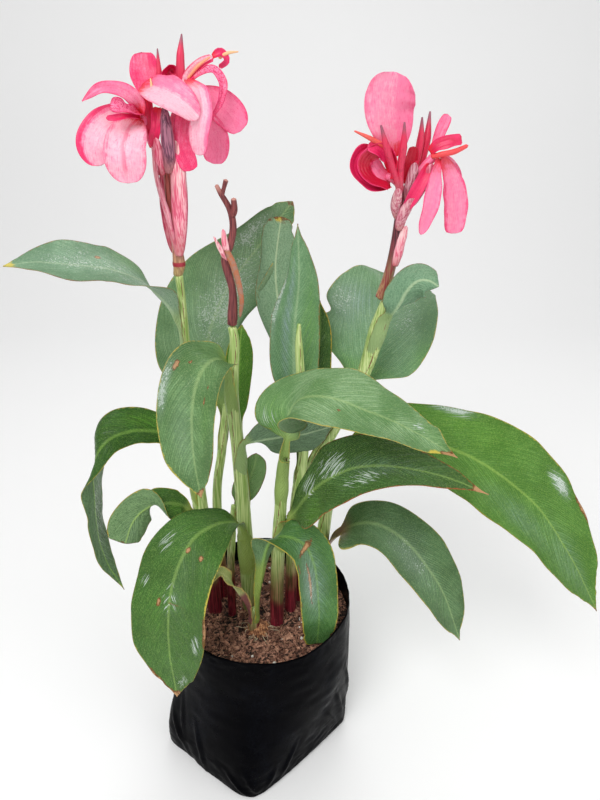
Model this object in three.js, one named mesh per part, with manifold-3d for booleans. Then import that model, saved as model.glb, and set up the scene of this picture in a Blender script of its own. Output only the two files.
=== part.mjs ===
// Canna lily in a polythene grow bag.
// Millimetres, +Z up, origin at the middle of the bag's flat base, -Y is the plant's front.

import * as THREE from 'three';
import Module from 'manifold-3d';

const wasm = await Module();
wasm.setup();

// ---------------------------------------------------------------- driving dimensions

const GAP = 0.35;                     // clearance between two pieces that touch

const BAG = {
  film: 1.4,                          // wall of the bag
  sides: 24,
  rim: { z: 178, x: 3, y: 5, radius: 98 },
  // The base is a rounded square: direction of each side's outward normal, and its distance.
  base: [[235, 107], [310, 85], [44, 62], [144, 68]],
  corner: 10,                         // higher is a sharper corner
  edge: 5,                            // radius of the bottom edge
  belly: 3,                           // swelling at half height
  round: 0.75,                        // share of the height over which the square turns round
};

const SOIL = { z: 150, mound: 5, lump: 1.6, crown: [0.78, 0.5, 0.24] };

const LEAF = {
  thick: 1.1,
  edge: 0.8,
  rib: 1.6,                           // depth of the midrib under the blade
  petiole: 5.5,                       // half width of the channelled stalk
  petioleBend: 74,
  opening: 0.3,                       // share of the blade over which the channel opens flat
  shoulder: 0.2,                      // share over which the blade reaches its full outline
  ripples: 5,                         // half waves along each margin
  tip: 0.9,                           // least half width
};
// The sheath: how far round its shoot it reaches at its foot (large and small leaves) and top.
const CLASP = { thick: 1.1, wrap: 138, hug: 80, top: 66, room: 1.13, leave: 14 };
const PETAL = { thick: 0.9, edge: 0.75, claw: 2.2, bend: 20, wave: 0.8, rows: 5, columns: 4 };
const BRACT = { claw: 3, bend: [48, 48], widest: 0.5, rows: 3, columns: 2 };

// ---------------------------------------------------------------- curves

const CURVE_STEPS = 16;

const vec = (p) => new THREE.Vector3(...p);
const mix = (a, b, t) => a + (b - a) * t;
const clamp01 = (t) => Math.min(1, Math.max(0, t));
const ease = (t) => clamp01(t) ** 2 * (3 - 2 * clamp01(t));
const radians = (degrees) => degrees * Math.PI / 180;

// A smooth path through points, measured by its length.
function pathThrough(points) {
  const curve = new THREE.CatmullRomCurve3(points.map(vec), false, 'catmullrom', 0.5);
  curve.arcLengthDivisions = CURVE_STEPS * (points.length - 1);
  const lengths = curve.getLengths();
  const total = lengths[lengths.length - 1];
  return {
    total,
    lengthAt: (index) => lengths[index * CURVE_STEPS],
    point: (length) => curve.getPointAt(clamp01(length / total)),
    tangent: (length) => curve.getTangentAt(clamp01(length / total)),
  };
}

// Value at a length, from one value for each of the path's points.
function valueAlong(path, values, length) {
  for (let i = 1; i < values.length; i += 1) {
    const low = path.lengthAt(i - 1);
    const high = path.lengthAt(i);
    if (length <= high || i === values.length - 1) {
      return mix(values[i - 1], values[i], clamp01((length - low) / (high - low)));
    }
  }
  return values[0];
}

// ---------------------------------------------------------------- solids

// A closed surface is a list of vertices and a list of triangles that share them.
class Surface {
  constructor() {
    this.points = [];
    this.faces = [];
  }

  add(point) {
    this.points.push(point.x, point.y, point.z);
    return this.points.length / 3 - 1;
  }

  quad(a, b, c, d) {
    this.faces.push(a, b, c, a, c, d);
  }

  triangle(a, b, c) {
    this.faces.push(a, b, c);
  }

  solid() {
    const mesh = new wasm.Mesh({
      numProp: 3,
      vertProperties: new Float32Array(this.points),
      triVerts: new Uint32Array(this.faces),
    });
    return new wasm.Manifold(mesh);
  }
}

// Rings of points, joined one to the next and closed by a point at each end.
function solidOfRings(rings, first, last) {
  const surface = new Surface();
  const numbered = rings.map((ring) => ring.map((point) => surface.add(point)));
  const start = surface.add(first);
  const end = surface.add(last);
  const sides = rings[0].length;
  const top = numbered[numbered.length - 1];
  for (let j = 0; j < sides; j += 1) {
    const k = (j + 1) % sides;
    surface.triangle(start, numbered[0][k], numbered[0][j]);
    surface.triangle(end, top[j], top[k]);
    for (let i = 1; i < rings.length; i += 1) {
      surface.quad(numbered[i - 1][j], numbered[i - 1][k], numbered[i][k], numbered[i][j]);
    }
  }
  return surface.solid();
}

// A round stem of changing radius. Its ends are shallow domes.
function stem(points, radii, { sides = 8, step = 24, extra = 0, dome = 0.3 } = {}) {
  const path = pathThrough(points);
  const count = Math.max(points.length, Math.round(path.total / step) + 1);
  const rings = [];
  let side = vec([1, 0.2, 0.1]);
  for (let i = 0; i < count; i += 1) {
    const length = path.total * i / (count - 1);
    const along = path.tangent(length);
    side = side.addScaledVector(along, -side.dot(along)).normalize();
    const across = along.clone().cross(side);
    const radius = valueAlong(path, radii, length) + extra;
    const ring = [];
    for (let j = 0; j < sides; j += 1) {
      const angle = 2 * Math.PI * j / sides;
      ring.push(path.point(length)
        .addScaledVector(side, radius * Math.cos(angle))
        .addScaledVector(across, radius * Math.sin(angle)));
    }
    rings.push(ring);
  }
  const reach = (radius) => dome * radius + extra;
  const first = path.point(0).addScaledVector(path.tangent(0), -reach(radii[0]));
  const last = path.point(path.total)
    .addScaledVector(path.tangent(path.total), reach(radii[radii.length - 1]));
  return solidOfRings(rings, first, last);
}

// A thin sheet. Each row has its middle point, directions, half width, bend and thickness;
// the row's section is an arc, so that one rule gives a sheath, a channel or a flat blade.
function sheet(rows, columns) {
  const surface = new Surface();
  const upper = [];
  const lower = [];
  for (const row of rows) {
    const top = [];
    const under = [];
    for (let j = 0; j <= columns; j += 1) {
      const v = 2 * j / columns - 1;
      const side = v < 0 ? 0 : 1;
      const bend = radians(row.bend[side]);
      const curvature = Math.abs(bend) < 1e-3 ? 1e-3 : bend;
      const reach = row.half / curvature;
      const angle = curvature * v;
      const ripple = row.wave[side] * v * v;
      const middle = row.point.clone()
        .addScaledVector(row.across, reach * Math.sin(angle))
        .addScaledVector(row.face, reach * (1 - Math.cos(angle)) + ripple);
      const out = row.across.clone().multiplyScalar(-Math.sin(angle))
        .addScaledVector(row.face, Math.cos(angle));
      const half = mix(row.thick, row.edge, Math.abs(v)) / 2;
      const rib = v === 0 ? row.rib : 0;
      top.push(surface.add(middle.clone().addScaledVector(out, half)));
      under.push(surface.add(middle.clone().addScaledVector(out, -half - rib)));
    }
    upper.push(top);
    lower.push(under);
  }
  const last = rows.length - 1;
  for (let i = 0; i < last; i += 1) {
    for (let j = 0; j < columns; j += 1) {
      surface.quad(upper[i][j], upper[i][j + 1], upper[i + 1][j + 1], upper[i + 1][j]);
      surface.faces.push(lower[i][j], lower[i + 1][j + 1], lower[i][j + 1]);
      surface.faces.push(lower[i][j], lower[i + 1][j], lower[i + 1][j + 1]);
    }
    surface.quad(upper[i][0], upper[i + 1][0], lower[i + 1][0], lower[i][0]);
    surface.quad(
      upper[i + 1][columns], upper[i][columns], lower[i][columns], lower[i + 1][columns]);
  }
  for (let j = 0; j < columns; j += 1) {
    surface.quad(upper[0][j + 1], upper[0][j], lower[0][j], lower[0][j + 1]);
    surface.quad(upper[last][j], upper[last][j + 1], lower[last][j + 1], lower[last][j]);
  }
  return surface.solid();
}

// Outline of a blade: 0 at both ends and 1 at its widest place.
function outline(s, widest, full) {
  const a = Math.max(s, 1e-4) / widest;
  const b = Math.max(1 - s, 1e-4) / (1 - widest);
  return a ** (full * widest) * b ** (full * (1 - widest));
}

// Direction that the upper face looks in, from three directions along the blade.
function faceAt(faces, s) {
  const t = clamp01(s) * 2;
  const i = Math.min(1, Math.floor(t));
  return vec(faces[i]).normalize().lerp(vec(faces[i + 1]).normalize(), t - i);
}

function squareTo(direction, along) {
  return direction.clone().addScaledVector(along, -direction.dot(along)).normalize();
}

const keepLargest = (solid) => {
  const loose = solid.decompose();
  return loose.reduce((best, one) => (one.volume() > best.volume() ? one : best), loose[0]);
};

// ---------------------------------------------------------------- shoots

// Upright shoots, from their base in the potting mix: points along the middle, and radii.
const SHOOTS = {
  shoot_left: {
    points: [[-53, 5, 138], [-56, 8, 224], [-62, 12, 309], [-64, 14, 398], [-62, 12, 478],
      [-61, 8, 523], [-61, 5, 546]],
    radii: [8, 8.2, 7.6, 6.2, 4.2, 3.3, 3.4],
  },
  shoot_spent: {
    points: [[-13, 10, 138], [-14, 8, 224], [-15, 6, 294], [-17, 4, 369], [-20, 2, 431],
      [-15, 0, 483], [-16, -1, 500]],
    radii: [8.5, 8.5, 7.5, 6.8, 6.2, 4.4, 3.6],
  },
  shoot_front: {
    points: [[18, -12, 138], [21, -10, 240], [25, -8, 311], [27, -5, 350]],
    radii: [7.5, 7.2, 6.2, 4.6],
  },
  shoot_right: {
    points: [[43, 25, 138], [48, 25, 253], [58, 24, 333], [81, 24, 387], [105, 20, 441],
      [117, 14, 492], [124, 9, 520]],
    radii: [8.5, 8, 7.2, 6.6, 6, 8.2, 6.4],
  },
  shoot_side: {
    points: [[67, 30, 138], [70, 30, 227], [76, 32, 288], [82, 34, 339]],
    radii: [8, 7.5, 6.5, 4.8],
  },
  shoot_thin: {
    points: [[-33, 0, 138], [-33, 10, 210], [-30, 16, 255], [-27, 20, 290]],
    radii: [4.6, 4.4, 4, 2.8],
  },
  shoot_low: {
    points: [[-6, -22, 140], [-6, -23, 162], [-5, -24, 184]],
    radii: [6.4, 6, 3.6],
  },
  shoot_furled: {
    points: [[33, 6, 138], [37, 10, 249], [42, 13, 314], [49, 15, 362], [47, 16, 418],
      [44, 15, 472], [44, 14, 500]],
    radii: [6.6, 6.2, 5.6, 5, 4.2, 3, 0.9],
  },
  shoot_back: {
    points: [[-46, 30, 138], [-47, 32, 282], [-38, 34, 351], [-30, 34, 405]],
    radii: [5.5, 5.2, 4.6, 3.6],
  },
};

const shootSolid = (name, extra = 0) => stem(SHOOTS[name].points, SHOOTS[name].radii, { extra });

// Middle, direction and radius of a shoot at a height.
function shootAt(name, z) {
  const { points, radii } = SHOOTS[name];
  const path = pathThrough(points);
  let low = 0;
  let high = path.total;
  while (high - low > 0.05) {
    const middle = (low + high) / 2;
    if (path.point(middle).z < z) low = middle;
    else high = middle;
  }
  return { point: path.point(low), radius: valueAlong(path, radii, low) };
}

// ---------------------------------------------------------------- leaves

// clasp: the heights where the leaf's sheath wraps its shoot, and the side it leaves from.
// spine: the free midrib. face: where the upper face looks at the blade's start, middle, tip.
// bend: how far the left and right halves curl up, in degrees. wave: rise of the two margins.
const LEAVES = {
  leaf_left_top: {
    shoot: 'shoot_left', clasp: [440, 492], side: 184, petiole: 16, half: 28, widest: 0.52,
    full: 1.05, bend: [24, 10], wave: [2, 2],
    spine: [[-71, 0, 518], [-85, -8, 539], [-106, -15, 553], [-134, -25, 561], [-164, -33, 564],
      [-192, -42, 561]],
    face: [[0.4, -0.4, 1], [0, -0.5, 1], [0, -0.5, 1]],
  },
  leaf_back_left: {
    shoot: 'shoot_back', clasp: [346, 390], side: 112, petiole: 12, half: 47, widest: 0.38,
    full: 1.1, bend: [12, 20], wave: [3, 2],
    spine: [[-38, 46, 403], [-50, 58, 427], [-49, 70, 467], [-28, 80, 513], [3, 88, 553],
      [38, 93, 596]],
    face: [[0, -1, 0.4], [0, -1, 0.5], [0.2, -1, 0.5]],
  },
  leaf_spent_drape: {
    shoot: 'shoot_spent', clasp: [408, 456], side: 214, petiole: 14, half: 29, widest: 0.45,
    full: 1.1, bend: [18, 40], wave: [1, 2],
    spine: [[-29, -10, 472], [-37, -26, 483], [-46, -46, 478], [-51, -58, 450], [-53, -63, 410],
      [-49, -58, 356]],
    face: [[0.5, -0.3, 1], [-0.35, -1, 0.6], [-0.15, -1, 0.1]],
  },
  leaf_back_slip: {
    shoot: 'shoot_spent', clasp: [292, 326], side: 88, petiole: 60, half: 16, widest: 0.6,
    full: 0.9, bend: [24, 24], wave: [1, 1],
    spine: [[-17, 21, 346], [-18, 27, 380], [-17, 31, 420], [-14, 34, 456], [-9, 36, 490]],
    face: [[0, -1, 0], [0.2, -1, 0], [0.2, -1, 0.2]],
  },
  leaf_left_arch: {
    shoot: 'shoot_left', clasp: [292, 338], side: 190, petiole: 16, half: 25, widest: 0.42,
    full: 1.1, bend: [24, 10], wave: [2, 2],
    spine: [[-77, 6, 364], [-95, -4, 383], [-119, -15, 393], [-141, -25, 381], [-155, -31, 344],
      [-158, -33, 290], [-144, -35, 220]],
    face: [[0.3, -0.9, 1], [-0.7, -0.8, 0.6], [-1, 0.4, -0.1]],
  },
  leaf_left_curl: {
    shoot: 'shoot_left', clasp: [226, 270], side: 204, petiole: 16, half: 25, widest: 0.66,
    full: 0.75, bend: [20, 16], wave: [1, 1],
    spine: [[-75, -2, 300], [-85, -9, 320], [-99, -17, 331], [-115, -24, 330], [-131, -30, 310],
      [-135, -33, 280]],
    face: [[0.3, -0.4, 1], [-0.2, 0.4, 1], [-0.5, 1, -0.1]],
  },
  leaf_front_left: {
    shoot: 'shoot_spent', clasp: [206, 258], side: 262, petiole: 20, half: 38, widest: 0.52,
    full: 1.0, bend: [18, 24], wave: [3, 2],
    spine: [[-17, -10, 284], [-23, -24, 305], [-40, -40, 320], [-60, -58, 314], [-76, -78, 277],
      [-83, -92, 220], [-80, -99, 140]],
    face: [[0, -0.6, 1], [-0.4, -1, 0.7], [-0.2, -1, -0.05]],
  },
  leaf_front_small: {
    shoot: 'shoot_low', clasp: [164, 178], side: 352, petiole: 68, half: 21, widest: 0.55,
    full: 0.6, bend: [16, 24], wave: [1.5, 1], stalk: 7.5,
    spine: [[1, -27, 205], [5, -31, 242], [12, -36, 277], [21, -40, 292], [37, -44, 296],
      [54, -46, 286], [64, -46, 258], [69, -46, 218], [69, -47, 191], [66, -48, 164]],
    face: [[-0.35, 0.9, 0.3], [0.6, -1, 0.5], [0.2, -1, 0]],
  },
  leaf_low_right: {
    shoot: 'shoot_side', clasp: [178, 222], side: 318, petiole: 28, half: 29, widest: 0.52,
    full: 1.1, bend: [20, 18], wave: [2, 2],
    spine: [[82, 20, 243], [98, 8, 272], [117, -6, 291], [139, -18, 290], [165, -30, 268],
      [193, -41, 225], [216, -50, 165]],
    face: [[0.1, -0.5, 1], [0.3, -0.8, 0.8], [0.7, -0.8, 0.2]],
  },
  leaf_mid_right: {
    shoot: 'shoot_front', clasp: [310, 344], side: 262, petiole: 60, half: 36, widest: 0.4,
    full: 1.05, bend: [14, 20], wave: [2, 3],
    spine: [[29, -20, 368], [33, -31, 400], [37, -42, 430], [50, -54, 449], [76, -66, 456],
      [106, -78, 452], [137, -87, 442], [166, -93, 424]],
    face: [[-0.5, -0.2, 1], [0, -0.35, 1], [0.2, -0.4, 1]],
  },
  leaf_mid_lower: {
    shoot: 'shoot_front', clasp: [250, 292], side: 320, petiole: 12, half: 34, widest: 0.3,
    full: 1.2, bend: [16, 22], wave: [2, 3],
    spine: [[40, -24, 314], [52, -38, 342], [68, -51, 368], [90, -61, 388], [117, -70, 397],
      [149, -78, 397], [177, -86, 392], [205, -93, 383]],
    face: [[-0.2, -0.8, 1], [0, -0.6, 1], [0.1, -0.3, 1]],
  },
  leaf_big_right: {
    shoot: 'shoot_side', clasp: [284, 328], side: 340, petiole: 26, half: 47, widest: 0.45,
    full: 1.1, bend: [28, 10], wave: [3, 4],
    spine: [[99, 27, 358], [117, 20, 378], [148, 6, 387], [185, -9, 380], [231, -24, 360],
      [276, -38, 322], [314, -50, 270], [347, -60, 217]],
    face: [[-0.1, -0.5, 1], [0.25, -0.7, 0.9], [0.6, -0.7, 0.4]],
  },
  leaf_upright: {
    shoot: 'shoot_furled', clasp: [366, 404], side: 120, petiole: 4, half: 25, widest: 0.35,
    full: 1.1, bend: [26, 26], wave: [1, 1],
    spine: [[40, 25, 424], [39, 28, 452], [40, 30, 492], [44, 29, 535], [43, 27, 586]],
    face: [[0.2, -1, 0], [0.1, -1, 0], [0, -1, 0]],
  },
  leaf_upright_back: {
    shoot: 'shoot_furled', clasp: [318, 350], side: 115, petiole: 40, half: 23, widest: 0.66,
    full: 0.9, bend: [-14, -22], wave: [1, 1],
    spine: [[42, 30, 376], [36, 40, 412], [28, 47, 460], [21, 52, 508], [18, 54, 548],
      [20, 48, 578]],
    face: [[0, 1, 0.2], [0, 1, 0.1], [0, 1, 0.6]],
  },
  leaf_round_back: {
    shoot: 'shoot_right', clasp: [374, 420], side: 96, petiole: 12, half: 53, widest: 0.5,
    full: 0.8, bend: [12, 14], wave: [4, 3],
    spine: [[101, 38, 434], [110, 50, 455], [120, 61, 480], [130, 74, 501], [139, 92, 514],
      [148, 114, 516], [156, 138, 504]],
    face: [[-0.1, -1, 0.4], [0, -0.8, 0.8], [0.1, -0.4, 1]],
  },
  leaf_cap_right: {
    shoot: 'shoot_right', clasp: [466, 504], side: 300, petiole: 8, half: 17, widest: 0.5,
    full: 0.55, bend: [30, 44], wave: [1, 1],
    spine: [[131, -5, 518], [137, -9, 532], [145, -12, 540], [154, -14, 541], [163, -14, 536]],
    face: [[-0.6, 0.7, 0.5], [-0.1, 1, -0.2], [0.3, 0.9, -0.4]],
  },
  leaf_under: {
    shoot: 'shoot_spent', clasp: [346, 380], side: 338, petiole: 12, half: 22, widest: 0.5,
    full: 0.8, bend: [10, 10], wave: [1, 2],
    spine: [[-4, 0, 394], [10, -2, 404], [28, -1, 410], [50, 0, 414], [70, 2, 414]],
    face: [[-0.3, 0.8, 0.6], [0, 1, 0.3], [0, 1, 0.3]],
  },
  leaf_stub: {
    shoot: 'shoot_thin', clasp: [258, 282], side: 20, petiole: 8, half: 20, widest: 0.5,
    full: 0.75, bend: [20, 20], wave: [1, 1],
    spine: [[-18, 24, 300], [-13, 25, 318], [-9, 26, 338], [-7, 26, 356]],
    face: [[0, -1, 0], [0.1, -1, 0.1], [0.1, -1, 0.3]],
  },
  leaf_withered: {
    shoot: 'shoot_low', clasp: [162, 175], side: 186, petiole: 34, half: 8, widest: 0.5,
    full: 0.8, bend: [40, 40], wave: [0.5, 0.5], stalk: 7,
    spine: [[-14, -27, 195], [-21, -31, 216], [-29, -36, 237], [-37, -41, 250], [-43, -46, 249],
      [-48, -49, 237]],
    face: [[0.35, 0.9, 0.3], [0, -0.4, 1], [-0.5, -0.5, 1]],
  },
  leaf_back_right: {
    shoot: 'shoot_right', clasp: [322, 358], side: 118, petiole: 20, half: 14, widest: 0.5,
    full: 1.0, bend: [22, 22], wave: [1, 1],
    spine: [[63, 35, 378], [63, 40, 412], [63, 43, 450], [65, 44, 484], [64, 43, 512]],
    face: [[0, -1, 0.2], [-0.1, -1, 0.2], [-0.2, -1, 0.2]],
  },
};

const LARGE_LEAF = 23;                // half width from which a leaf gets the finer grid

// Rows of a leaf: the sheath that wraps the shoot, the channelled petiole, and the blade.
function leafRows(leaf) {
  const [low, high] = leaf.clasp;
  const outward = vec([Math.cos(radians(leaf.side)), Math.sin(radians(leaf.side)), 0]);
  const clasp = [low, (low + high) / 2, high].map((z) => {
    const { point, radius } = shootAt(leaf.shoot, z);
    const reach = radius * CLASP.room + GAP + CLASP.thick / 2;
    return { reach, point: point.addScaledVector(outward, reach).toArray() };
  });
  const path = pathThrough([...clasp.map((one) => one.point), ...leaf.spine]);
  const free = path.lengthAt(2);
  const start = free + leaf.petiole;
  const blade = path.total - start;
  const large = leaf.half > LARGE_LEAF;
  const steps = large ? [0.05, 0.12, 0.22, 0.34, 0.46, 0.58, 0.7, 0.82, 0.92, 1]
    : [0.08, 0.2, 0.36, 0.52, 0.68, 0.84, 1];
  const stops = [0, free / 2, free, start];
  if (leaf.petiole > 20) stops.splice(3, 0, free + leaf.petiole / 3, free + leaf.petiole * 2 / 3);
  stops.push(...steps.map((s) => start + s * blade));

  return stops.map((length) => {
    const along = path.tangent(length);
    const s = (length - start) / blade;
    const hold = clamp01(length / free);
    const reach = valueAlong(path, clasp.map((one) => one.reach), Math.min(length, free));
    const leave = ease((length - free) / Math.max(leaf.petiole, CLASP.leave));
    const sheathBend = mix(large ? CLASP.wrap : CLASP.hug, CLASP.top, hold);
    const sheathHalf = reach * radians(sheathBend);
    const open = ease(s / LEAF.opening);
    const stalk = mix(sheathHalf, leaf.stalk ?? LEAF.petiole, leave) * (1 - 0.8 * clamp01(s));
    const shoulder = mix(0.45, 1, ease(s / LEAF.shoulder));
    const spread = s > 0 ? leaf.half * shoulder * outline(s, leaf.widest, leaf.full) : 0;
    const half = Math.max(LEAF.tip, Math.hypot(stalk * (1 - open), spread));
    const narrow = mix(sheathBend, LEAF.petioleBend, leave);
    const direction = outward.clone().negate().lerp(faceAt(leaf.face, s), leave);
    const face = squareTo(direction, along);
    const ripple = Math.sin(Math.PI * LEAF.ripples * s) * open * (1 - clamp01(s) ** 4);
    return {
      point: path.point(length),
      across: along.clone().cross(face),
      face,
      half,
      bend: leaf.bend.map((bend) => mix(narrow, bend, open)),
      wave: leaf.wave.map((wave, i) => wave * ripple * (i ? -1 : 1)),
      thick: mix(CLASP.thick, LEAF.thick, leave),
      edge: LEAF.edge,
      rib: LEAF.rib * leave * (1 - clamp01(s)),
    };
  });
}

const leafSolid = (leaf) => sheet(leafRows(leaf), leaf.half > LARGE_LEAF ? 6 : 4);

// ---------------------------------------------------------------- flowers

// Rows of a petal or bract: a narrow claw that widens into the blade.
function petalRows(petal, extra) {
  const path = pathThrough(petal.spine);
  const count = petal.rows ?? PETAL.rows;
  const bend = petal.bend ?? [PETAL.bend, PETAL.bend];
  const claw = petal.claw ?? PETAL.claw;
  const rows = [];
  for (let i = 0; i <= count; i += 1) {
    const s = i / count;
    const length = s * path.total;
    const along = path.tangent(length);
    const face = squareTo(faceAt(petal.face, s), along);
    const spread = petal.half * outline(s, petal.widest ?? 0.6, petal.full ?? 0.8);
    const ripple = PETAL.wave * Math.sin(Math.PI * 3 * s);
    rows.push({
      point: path.point(length),
      across: along.clone().cross(face),
      face,
      half: Math.max(0.6, Math.hypot(claw * (1 - s), spread)) + extra,
      bend,
      wave: [ripple, -ripple],
      thick: PETAL.thick + 2 * extra,
      edge: PETAL.edge + 2 * extra,
      rib: 0,
    });
  }
  return rows;
}

const petalSolid = (petal, extra = 0) => (
  sheet(petalRows(petal, extra), petal.columns ?? PETAL.columns));

const FRONT = [0, -1, 0.3];

// A flower stalk: its stems and buds, and the bracts that grow from it and cup inward.
const FLOWER_STALKS = {
  flower_stalk_left: {
    stems: [
      {
        points: [[-61, 5, 548.5], [-61, 5, 556], [-61, 4, 563], [-63, 4, 600], [-66, 4, 638],
          [-60, 5, 668], [-49, 5, 696], [-43, 5, 728]],
        radii: [4.2, 5.6, 4.2, 3.8, 3.2, 2.4, 3.3, 0.8],
      },
      { points: [[-64, 5, 655], [-62, 9, 696], [-63, 10, 718]], radii: [2, 2, 0.8], sides: 5 },
    ],
    bracts: [
      { spine: [[-61, 0, 562], [-55, -6, 592], [-49, -10, 628]], half: 8, inward: [0, 1, 0] },
      { spine: [[-57, 4, 562], [-49, 4, 592], [-42, 3, 630]], half: 7, inward: [-1, 0.1, 0] },
      { spine: [[-65, 2, 580], [-70, -3, 612], [-74, -7, 645]], half: 7, inward: [1, 1, 0] },
      { spine: [[-61, 8, 575], [-60, 14, 606], [-57, 19, 636]], half: 8, inward: [0, -1, 0] },
      { spine: [[-64, 0, 628], [-62, -5, 652], [-60, -7, 675]], half: 3.6, inward: [0, 1, 0] },
      { spine: [[-60, 1, 628], [-54, -3, 648], [-48, -5, 667]], half: 3.4, inward: [0, 1, 0] },
    ],
  },
  flower_stalk_right: {
    stems: [
      {
        points: [[125, 8, 523.4], [128, 5, 548], [130, 4, 575], [130, 4, 600], [128, 4, 620],
          [124, 5, 632]],
        radii: [4.6, 4, 3.8, 3.8, 3.2, 1.8],
      },
      {
        points: [[131, 5, 606], [139, 6, 634], [141, 8, 652], [142, 8, 671]],
        radii: [2.4, 2.2, 2.6, 0.8], sides: 5,
      },
      {
        points: [[132, 7, 612], [142, 11, 636], [146, 13, 654], [148, 14, 674]],
        radii: [2.2, 2.2, 2.6, 0.8], sides: 5,
      },
    ],
    bracts: [
      { spine: [[128, 1, 580], [124, -3, 600], [120, -3, 620]], half: 6, inward: [0.3, 1, 0] },
      { spine: [[132, 2, 578], [138, 0, 594], [144, 0, 610]], half: 6, inward: [-1, 0.5, 0] },
      { spine: [[130, 7, 560], [137, 11, 575], [141, 13, 588]], half: 4.5, inward: [-1, -0.5, 0] },
      { spine: [[126, 4, 614], [117, 6, 642], [109, 8, 665]], half: 3.6, inward: [1, 1, 0] },
      { spine: [[127, 6, 618], [128, 11, 642], [129, 15, 668]], half: 3.4, inward: [0, -1, 0] },
    ],
  },
  flower_stalk_spent: {
    stems: [
      {
        points: [[-16, -1, 503.2], [-15, -2, 512], [-14, -2, 535], [-19, -1, 560], [-14, 0, 574],
          [-11, 0, 588], [-13, 0, 602], [-20, 0, 615], [-23, 0, 621]],
        radii: [4.2, 4.6, 3.2, 3.6, 3.1, 3, 2.6, 2.1, 1.6],
      },
      { points: [[-19, 0, 613], [-17, 0, 619], [-15, 0, 625]], radii: [1.8, 1.6, 2], sides: 5 },
      { points: [[-12, 0, 594], [-9, -3, 602], [-9, -4, 612]], radii: [1.8, 2.7, 1.4], sides: 5 },
    ],
    bracts: [
      { spine: [[-19, -3, 560], [-23, -5, 570], [-27, -5, 581]], half: 3, inward: [1, 1, 0] },
      { spine: [[-17, -3, 564], [-18, -5, 575], [-19, -5, 587]], half: 2.8, inward: [0, 1, 0] },
      {
        spine: [[-15, -4, 560], [-10, -7, 550], [-6, -7, 528], [-9, -5, 508]],
        half: 4, inward: [0, 1, 0],
      },
    ],
  },
};

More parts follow.
